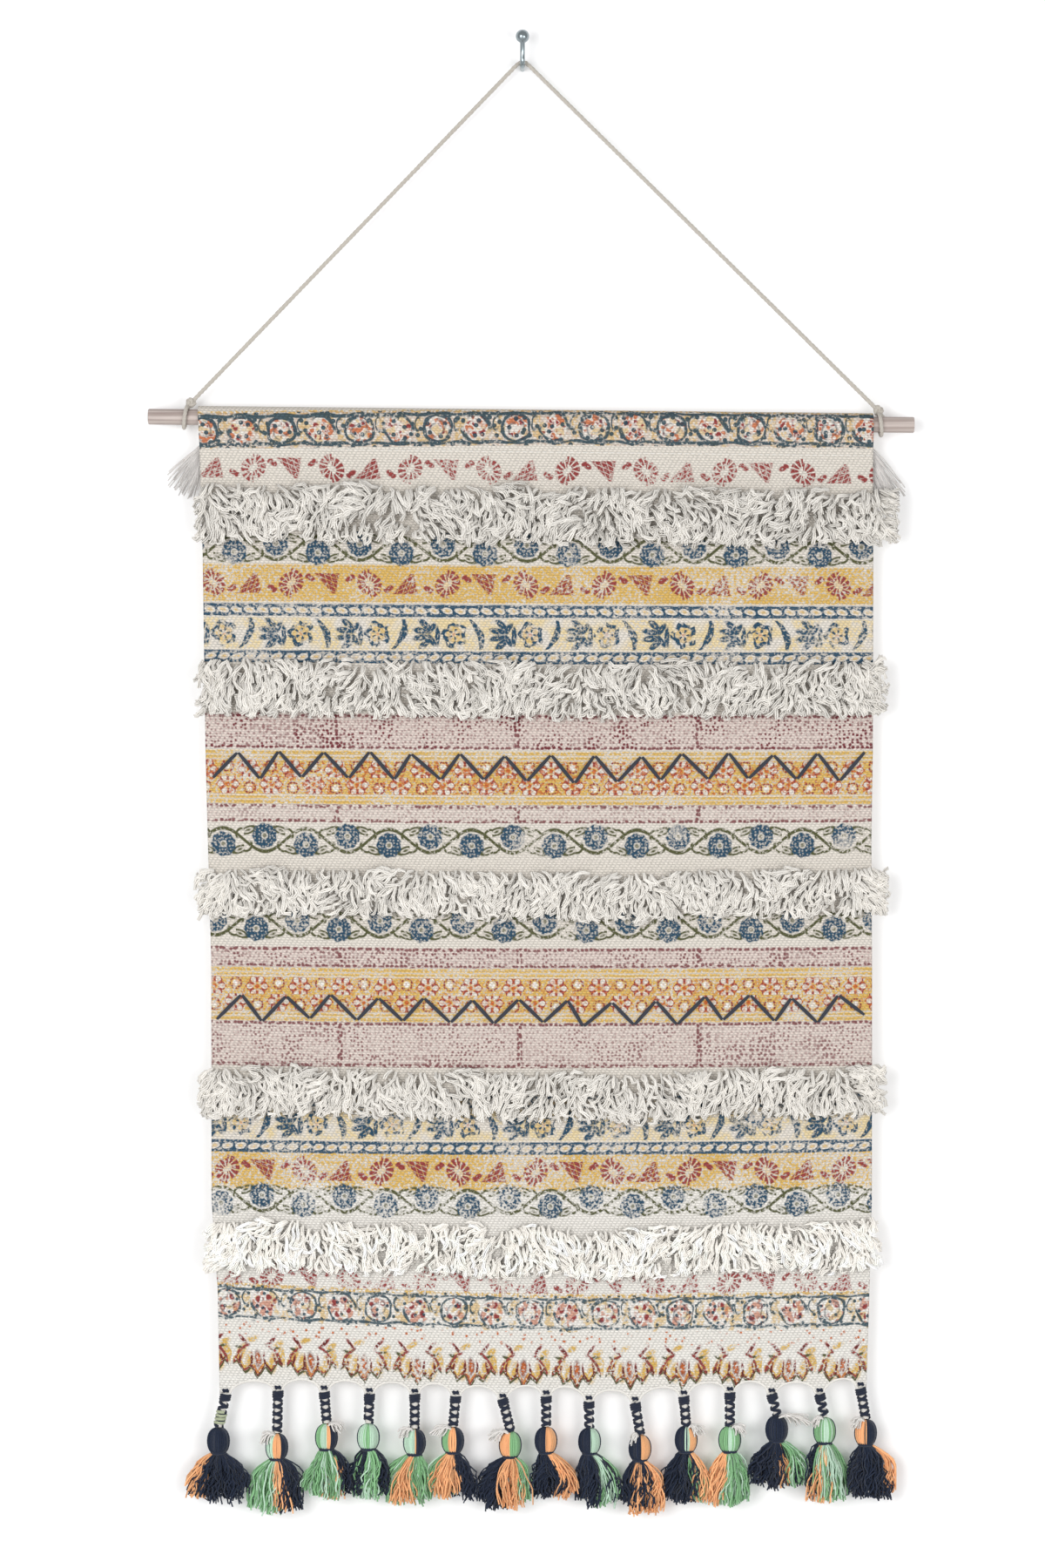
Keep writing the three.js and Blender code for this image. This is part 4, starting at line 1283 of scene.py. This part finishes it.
t = np.linspace(0, 1, 7)[None, :]
fan = draw(0.1, 1.0)
sway = rng.normal(0, 1.6, (count, 1)) * t
sway = sway + draw(0.3, 1.0) * np.sin(2 * math.pi * (t * draw(0.5, 1.0) + draw(0, 1)))
fx = at[:, None] + outward * fan * FRINGE["reach"] * t**0.85 + sway * np.minimum(1, 3 * t)
fz = rod_z(at)[:, None] - FRINGE["top"] - draw(0, 6) * np.abs(outward) - FRINGE["long"] * draw(0.75, 1.1) * t
fz = fz + np.abs(outward) * fan**2 * 12 * t
fy = FRINGE["y"] + rng.normal(0, 0.25, (count, 1)) * t + 0.9 * np.abs(outward) * np.sin(3 * t)
grey = draw(0.7, 1.05) * np.array(linear(210, 206, 203))
ends = (np.stack([fx, fy, fz], -1), FRINGE["radius"] * (1 - 0.3 * t), grey)
fringe = yarns("fringe", [ends], 4, fringe_look)
place(fringe, "warp_yarn", "pocket_fringe")

# %% [markdown]
# ## Stems
# Under every point of the hem a bundle of white warp hangs down, bound with dark yarn that winds round it,
# so that white lozenges show between. A tight collar of the same yarn sits at the top, under a small knot on
# the cloth, and the first stem has a few turns of pale green at its foot.

# %% Stems
WHITE = linear(214, 210, 204)
STEM = {"core": 3.0, "wrap": 1.5, "out": 0.35, "pitch": 6.6}
COLLAR = {"long": 5.0, "out": 1.1, "pitch": 1.9, "yarn": 1.25}
GREEN_TURNS = {"stem": 0, "top": 14, "foot": 2, "out": 0.9, "pitch": 3.2, "yarn": 1.5}
PALE_GREEN = linear(168, 176, 148)
HEM_KNOT = {
    "rise": 4.0,
    "yarn": 1.2,
    "x": np.array([[-2.6, 0, 2.6], [-1.9, 0, 2.1]]),
    "z": np.array([[0.9, 0.2, -0.7], [-1.0, 0.1, 1.0]]),
    "out": np.array([[0.0, 1.0, 0.0]]),
}
stem_look = yarn_look("stem_binding", 900, 0.6)


def winding(line, radius, pitch, turn_back=1.0, phase=0.0, steps=14):
    """One yarn that winds round a straight line from its top."""
    top, foot = np.asarray(line[0], float), np.asarray(line[1], float)
    long = np.linalg.norm(foot - top)
    t = np.linspace(0, 1, max(8, int(steps * long / pitch)))
    turned = turn_back * 2 * math.pi * long / pitch * t + phase
    ahead = (foot - top) / long
    side = np.cross(ahead, (0.0, 1.0, 0.0))
    side /= np.linalg.norm(side)
    out = np.cross(ahead, side)
    return (top + (foot - top) * t[:, None]
            + radius * (np.cos(turned)[:, None] * side + np.sin(turned)[:, None] * out))[None]


for k in range(TASSELS):
    rng = np.random.default_rng(300 + k)
    top, foot = stem_tops[k] + [0, 0, 0.3], stem_feet[k]
    way = (foot - top) / np.linalg.norm(foot - top)
    t = np.linspace(0, 1, 6)[:, None]
    core = (top + (foot - top) * t)[None]
    wide = STEM["core"] + STEM["out"]
    wound = [winding((top, foot), wide, STEM["pitch"], 1.0, rng.uniform(0, 6))]
    wound.append(winding((top, foot), wide, STEM["pitch"] * 1.02, -1.0, rng.uniform(0, 6)))
    collar_top = top + way * rng.uniform(-1.0, 0.5)
    collar_line = (collar_top, collar_top + way * COLLAR["long"])
    collar = winding(collar_line, STEM["core"] + COLLAR["out"], COLLAR["pitch"], 1.0, 0.0, 12)
    groups = [(core, STEM["core"], [WHITE]), (collar, COLLAR["yarn"], [NAVY])]
    groups += [(line, STEM["wrap"], [NAVY]) for line in wound]
    if k == GREEN_TURNS["stem"]:
        green_line = (foot - way * GREEN_TURNS["top"], foot - way * GREEN_TURNS["foot"])
        green = winding(green_line, STEM["core"] + GREEN_TURNS["out"], GREEN_TURNS["pitch"], 1.0, 1.0, 12)
        groups.append((green, GREEN_TURNS["yarn"], [PALE_GREEN]))
    knot_x = HEM_KNOT["x"] + top[0]
    knot_z = HEM_KNOT["z"] + (top[2] + HEM_KNOT["rise"])
    knot_y = front(knot_x, knot_z) - HEM_KNOT["out"]
    groups.append((np.stack([knot_x, knot_y, knot_z], -1), HEM_KNOT["yarn"], [NAVY]))
    stem = yarns(f"stem_binding.{k + 1:02d}", groups, 6, stem_look)
    place(stem, "stem_yarn", f"stem_{k + 1:02d}")

# %% [markdown]
# ## Tassels
# Each tassel is a bundle of dyed yarn folded over its stem: a round head of yarns laid side by side,
# a dark tie at the neck and a loose skirt. The colours change from tassel to tassel, so a short table
# names them from left to right for the head and the skirt, and says on which side a white tuft sticks out.

# %% Tassels
DYES = {
    "n": linear(38, 47, 66),
    "g": linear(142, 193, 142),
    "p": linear(196, 225, 203),
    "o": linear(249, 186, 134),
    "w": linear(226, 223, 219),
}
TASSEL_DYES = [
    # head, skirt, white tuft: to the left below zero, to the right above zero
    ("nn", "onnnnn", 0),
    ("pon", "gggonn", -0.7),
    ("gpon", "ggggogn", 0.8),
    ("pgp", "ngpggn", 0),
    ("pponn", "ggoggg", -0.7),
    ("gon", "gogonnnn", -1),
    ("og", "nnnnoogg", -1),
    ("no", "nnnnoo", 0),
    ("np", "nnngpgn", 0),
    ("no", "nonooo", -0.4),
    ("nnpo", "nnnngo", 0.8),
    ("gpg", "ogggpgg", 0.7),
    ("nn", "nnnnongg", 1.5),
    ("gpg", "nogpgg", -0.6),
    ("on", "nnnnno", -0.7),
]
HEAD = {"radius": 8.7, "rise": 11.6, "neck": 5.4, "yarns": 44, "points": 10, "yarn": 1.0}
TIE = {"above": 1.8, "below": 1.6, "out": 0.9, "pitch": 1.7, "yarn": 1.15}
SKIRT = {"locks": 14, "yarns": 24, "points": 10, "radius": 0.78}
TUFT = {"yarns": 34, "points": 6, "radius": 0.85}
tassel_look = yarn_look("dyed_yarn", 900, 0.5)


def spread_dyes(word, across, rng):
    """Dyes for yarns that lie at shares 0 to 1 across, with slightly ragged borders."""
    at = np.clip(across + rng.normal(0, 0.07, len(across)), 0, 0.999)
    index = (at * len(word)).astype(int)
    dyes = np.array([DYES[letter] for letter in word])[index]
    return dyes * rng.uniform(0.86, 1.1, (len(across), 1))


def head(word, middle, neck, rng):
    """Yarns laid from crown to neck over a dark core, a dark yarn down each side, and the tie at the neck."""
    number = HEAD["yarns"]
    around = np.linspace(0, 2 * math.pi, number, endpoint=False) + rng.normal(0, 0.03, number)
    fall = np.linspace(0.06, 1, HEAD["points"])[None, :]
    tilt = math.pi * (0.02 + 0.80 * fall)
    wide = np.maximum(HEAD["radius"] * np.sin(tilt) ** 0.8, HEAD["neck"] * fall**4)
    hx = middle[0] + wide * np.sin(around)[:, None]
    hy = middle[1] - wide * np.cos(around)[:, None]
    hz = middle[2] + HEAD["rise"] * np.cos(tilt) + 0 * hx
    dyes = spread_dyes(word, (np.sin(around) + 1) / 2, rng)
    core = np.stack([0 * fall[0] + middle[0], 0 * fall[0] + middle[1], hz[0]], -1)[None]
    rim = np.stack([middle[0] + (wide[0] + 0.9), 0 * wide[0] + middle[1] - 1.0, hz[0]], -1)
    other = rim * [-1, 1, 1] + [2 * middle[0], 0, 0]
    tie_line = (neck + [0, 0, TIE["above"]], neck - [0, 0, TIE["below"]])
    tie = winding(tie_line, HEAD["neck"] + TIE["out"], TIE["pitch"], 1.0, 0.0, 14)
    return [
        (np.stack([hx, hy, hz], -1), HEAD["yarn"], dyes),
        (core, wide - 0.6, [DYES["n"]]),
        (np.stack([rim, other]), 0.8, [DYES["n"]]),
        (tie, TIE["yarn"], [DYES["n"]]),
    ]


print("tassels named in the table:", len(TASSEL_DYES))

# %% [markdown]
# The skirt hangs in locks. Each lock has one dye, leaves the neck in its own direction and swings a little,
# and its yarns stray and curl. Some tassels also have a tuft of white warp ends beside the crown.

# %% Skirts and tufts
def skirt(word, neck, low, high, rng):
    """Wavy locks of yarn from the neck to the foot of the skirt; each lock has one dye."""
    locks, each = SKIRT["locks"], SKIRT["yarns"]

    def per_lock(start, end):
        return rng.uniform(start, end, (locks, 1, 1))

    def per_yarn(start, end):
        return rng.uniform(start, end, (locks, each, 1))

    t = np.linspace(0, 1, SKIRT["points"])[None, None, :]
    across = (np.arange(locks)[:, None, None] + per_lock(0.1, 0.9)) / locks
    letters = np.array(list(word))[(across * len(word)).astype(int)]
    side = 2 * across - 1
    depth = rng.permutation(np.linspace(-1, 1, locks))[:, None, None] * np.sqrt(1 - 0.8 * side**2)
    depth = np.where(letters == "o", -np.abs(depth), depth)
    near_x = neck[0] + side * (HEAD["neck"] - 1)
    near_y = neck[1] + depth * (HEAD["neck"] - 1)
    foot_x = (low[0] + high[0]) / 2 + side * ((high[0] - low[0]) / 2 + 0.5) + per_lock(-3.5, 3.5)
    foot_y = neck[1] + depth * 7.5
    open_out = 1 - (1 - t) ** per_lock(1.2, 3.4)
    swing = per_lock(-3.5, 3.5) * np.sin(math.pi * t * per_lock(1.0, 2.0))
    curly = np.where(letters == "n", 2.3, 1.4) * per_yarn(0.5, 1.3) * np.minimum(1, 2.5 * t)
    wave = 2 * math.pi * (np.where(letters == "n", 1.6, 1.0) * per_yarn(0.8, 2.2) * t + per_yarn(0, 1))
    loose = 0.5 + 3.3 * t**0.6
    sx = near_x + (foot_x - near_x) * open_out + swing + loose * rng.normal(0, 1, (locks, each, 1))
    sy = near_y + (foot_y - near_y) * open_out + 0.8 * loose * rng.normal(0, 1, (locks, each, 1))
    drop = (neck[2] - low[2]) * per_lock(0.8, 1.0) * (1 - 0.16 * side**4) * per_yarn(0.82, 1.0)
    sz = neck[2] - drop * t + 0.5 * curly * np.sin(1.3 * wave)
    lines = np.stack([sx + curly * np.sin(wave), sy + 0.8 * curly * np.cos(wave), sz], -1)
    lines[..., 0] = np.clip(lines[..., 0], low[0] - 4, high[0] + 4)
    dyes = np.array([DYES[letter] for letter in letters.ravel()])[:, None, :] * per_yarn(0.75, 1.12)
    faded = (letters == "g") & (per_yarn(0, 1) < 0.25)
    dyes = np.where(faded, DYES["p"], dyes)
    return lines.reshape(-1, SKIRT["points"], 3), dyes.reshape(-1, 3)


def warp_tuft(crown, way, rng):
    """Cut warp ends that stick out beside the crown of a tassel."""
    count, points = TUFT["yarns"], TUFT["points"]
    t = np.linspace(0, 1, points)[None, :]
    reach = way * rng.uniform(6, 19, (count, 1))
    tx = crown[0] + np.sign(way) * 1.5 + reach * t + rng.normal(0, 0.5, (count, points)) * t
    ty = crown[1] + rng.uniform(-9, 1, (count, 1)) * (0.5 + 0.5 * t)
    tz = crown[2] - 1.0 + 4.5 * np.sin(2.2 * t) - rng.uniform(2, 11, (count, 1)) * t**2
    return np.stack([tx, ty, tz + rng.normal(0, 0.4, (count, points)) * t], -1)


for k, (head_word, skirt_word, tuft) in enumerate(TASSEL_DYES):
    rng = np.random.default_rng(500 + k)
    node = f"tassel_{k + 1:02d}"
    low, high = (np.array(corner_mm) / MM for corner_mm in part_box(node))
    crown = corner(node, True)
    middle = crown - [0, 0, HEAD["rise"]]
    neck = middle - [0, 0, HEAD["rise"] * 0.88]
    groups = head(head_word, middle, neck, rng)
    lines, dyes = skirt(skirt_word, neck, low, high, rng)
    groups.append((lines, SKIRT["radius"], dyes))
    if tuft:
        groups.append((warp_tuft(crown, tuft, rng), TUFT["radius"], [DYES["w"]]))
    tassel = yarns(f"dyed_tassel.{k + 1:02d}", groups, 3, tassel_look)
    place(tassel, "tassel_yarn", node)

# %% [markdown]
# ## Stage
# The hanging is shown before a white wall and over a pale floor, which are no part of it.
# The wall shows only from its room side and stops no light, so the back of the hanging can be looked at too.

# %% Stage
def one_way_white():
    look, shader, new, link = new_look("white_wall", 1, 0)
    shader.inputs["Base Color"].default_value = (0.96, 0.96, 0.965, 1)
    side, clear = new("ShaderNodeNewGeometry"), new("ShaderNodeBsdfTransparent")
    choose = new("ShaderNodeMixShader")
    link(side.outputs["Backfacing"], choose.inputs["Fac"])
    link(shader.outputs[0], choose.inputs[1])
    link(clear.outputs[0], choose.inputs[2])
    link(choose.outputs[0], look.node_tree.nodes["Material Output"].inputs["Surface"])
    return look


STAGE = {"floor": -1450, "top": 3000, "half_width": 4000, "half_depth": 4500, "wall_y": 0.6}
wide, deep, floor, top = STAGE["half_width"], STAGE["half_depth"], STAGE["floor"], STAGE["top"]
floor_look, floor_shader, *_ = new_look("pale_floor", 0.9, 0.5)
floor_shader.inputs["Base Color"].default_value = (0.8, 0.8, 0.8, 1)
upright = [(x, STAGE["wall_y"], z) for x, z in ((-wide, floor), (wide, floor), (wide, top), (-wide, top))]
spread = [(x, y, floor) for x, y in ((-wide, -deep), (wide, -deep), (wide, deep), (-wide, deep))]
wall = solid_of_faces("wall", upright, [(0, 1, 2, 3)], one_way_white())
solid_of_faces("floor", spread, [(0, 1, 2, 3)], floor_look)
wall.visible_shadow = wall.visible_diffuse = False
print("wall and floor stand outside the part")

# %% [markdown]
# Two broad lamps in front, the left one a little stronger, give the photograph's soft and even light.
# A third lights the back, and a white world fills in the rest.

# %% Light
LIGHTS = [
    # name, place, width, watts
    ("key", (-1300, -2700, -500), 1700, 41),
    ("fill", (1500, -2700, -1000), 1700, 34),
    ("behind", (900, 2600, 500), 1500, 40),
]
AIM = (0, 0, -650)


def soft_light(name, place_mm, size_mm, watts):
    data = bpy.data.lights.new(name, "AREA")
    data.shape = "DISK"
    data.size = size_mm * MM
    data.energy = watts
    obj = linked(name, data)
    obj.location = Vector(place_mm) * MM
    obj.rotation_euler = (Vector(AIM) - Vector(place_mm)).to_track_quat("-Z", "Y").to_euler()


for light in LIGHTS:
    soft_light(*light)
world = bpy.data.worlds.new("studio")
world.use_nodes = True
world.node_tree.nodes["Background"].inputs["Color"].default_value = (1, 1, 1, 1)
world.node_tree.nodes["Background"].inputs["Strength"].default_value = 0.58
bpy.context.scene.world = world
bpy.context.scene.view_settings.view_transform = "Standard"
print("lamps:", len(LIGHTS))

# %% [markdown]
# ## Triangles
# The detailed pieces are made to the size of the solids; their triangles are counted here. The
# detailed pieces must keep the size of the solids.

# %% Triangles
print("triangles in all:", sum(made_pieces.values()))
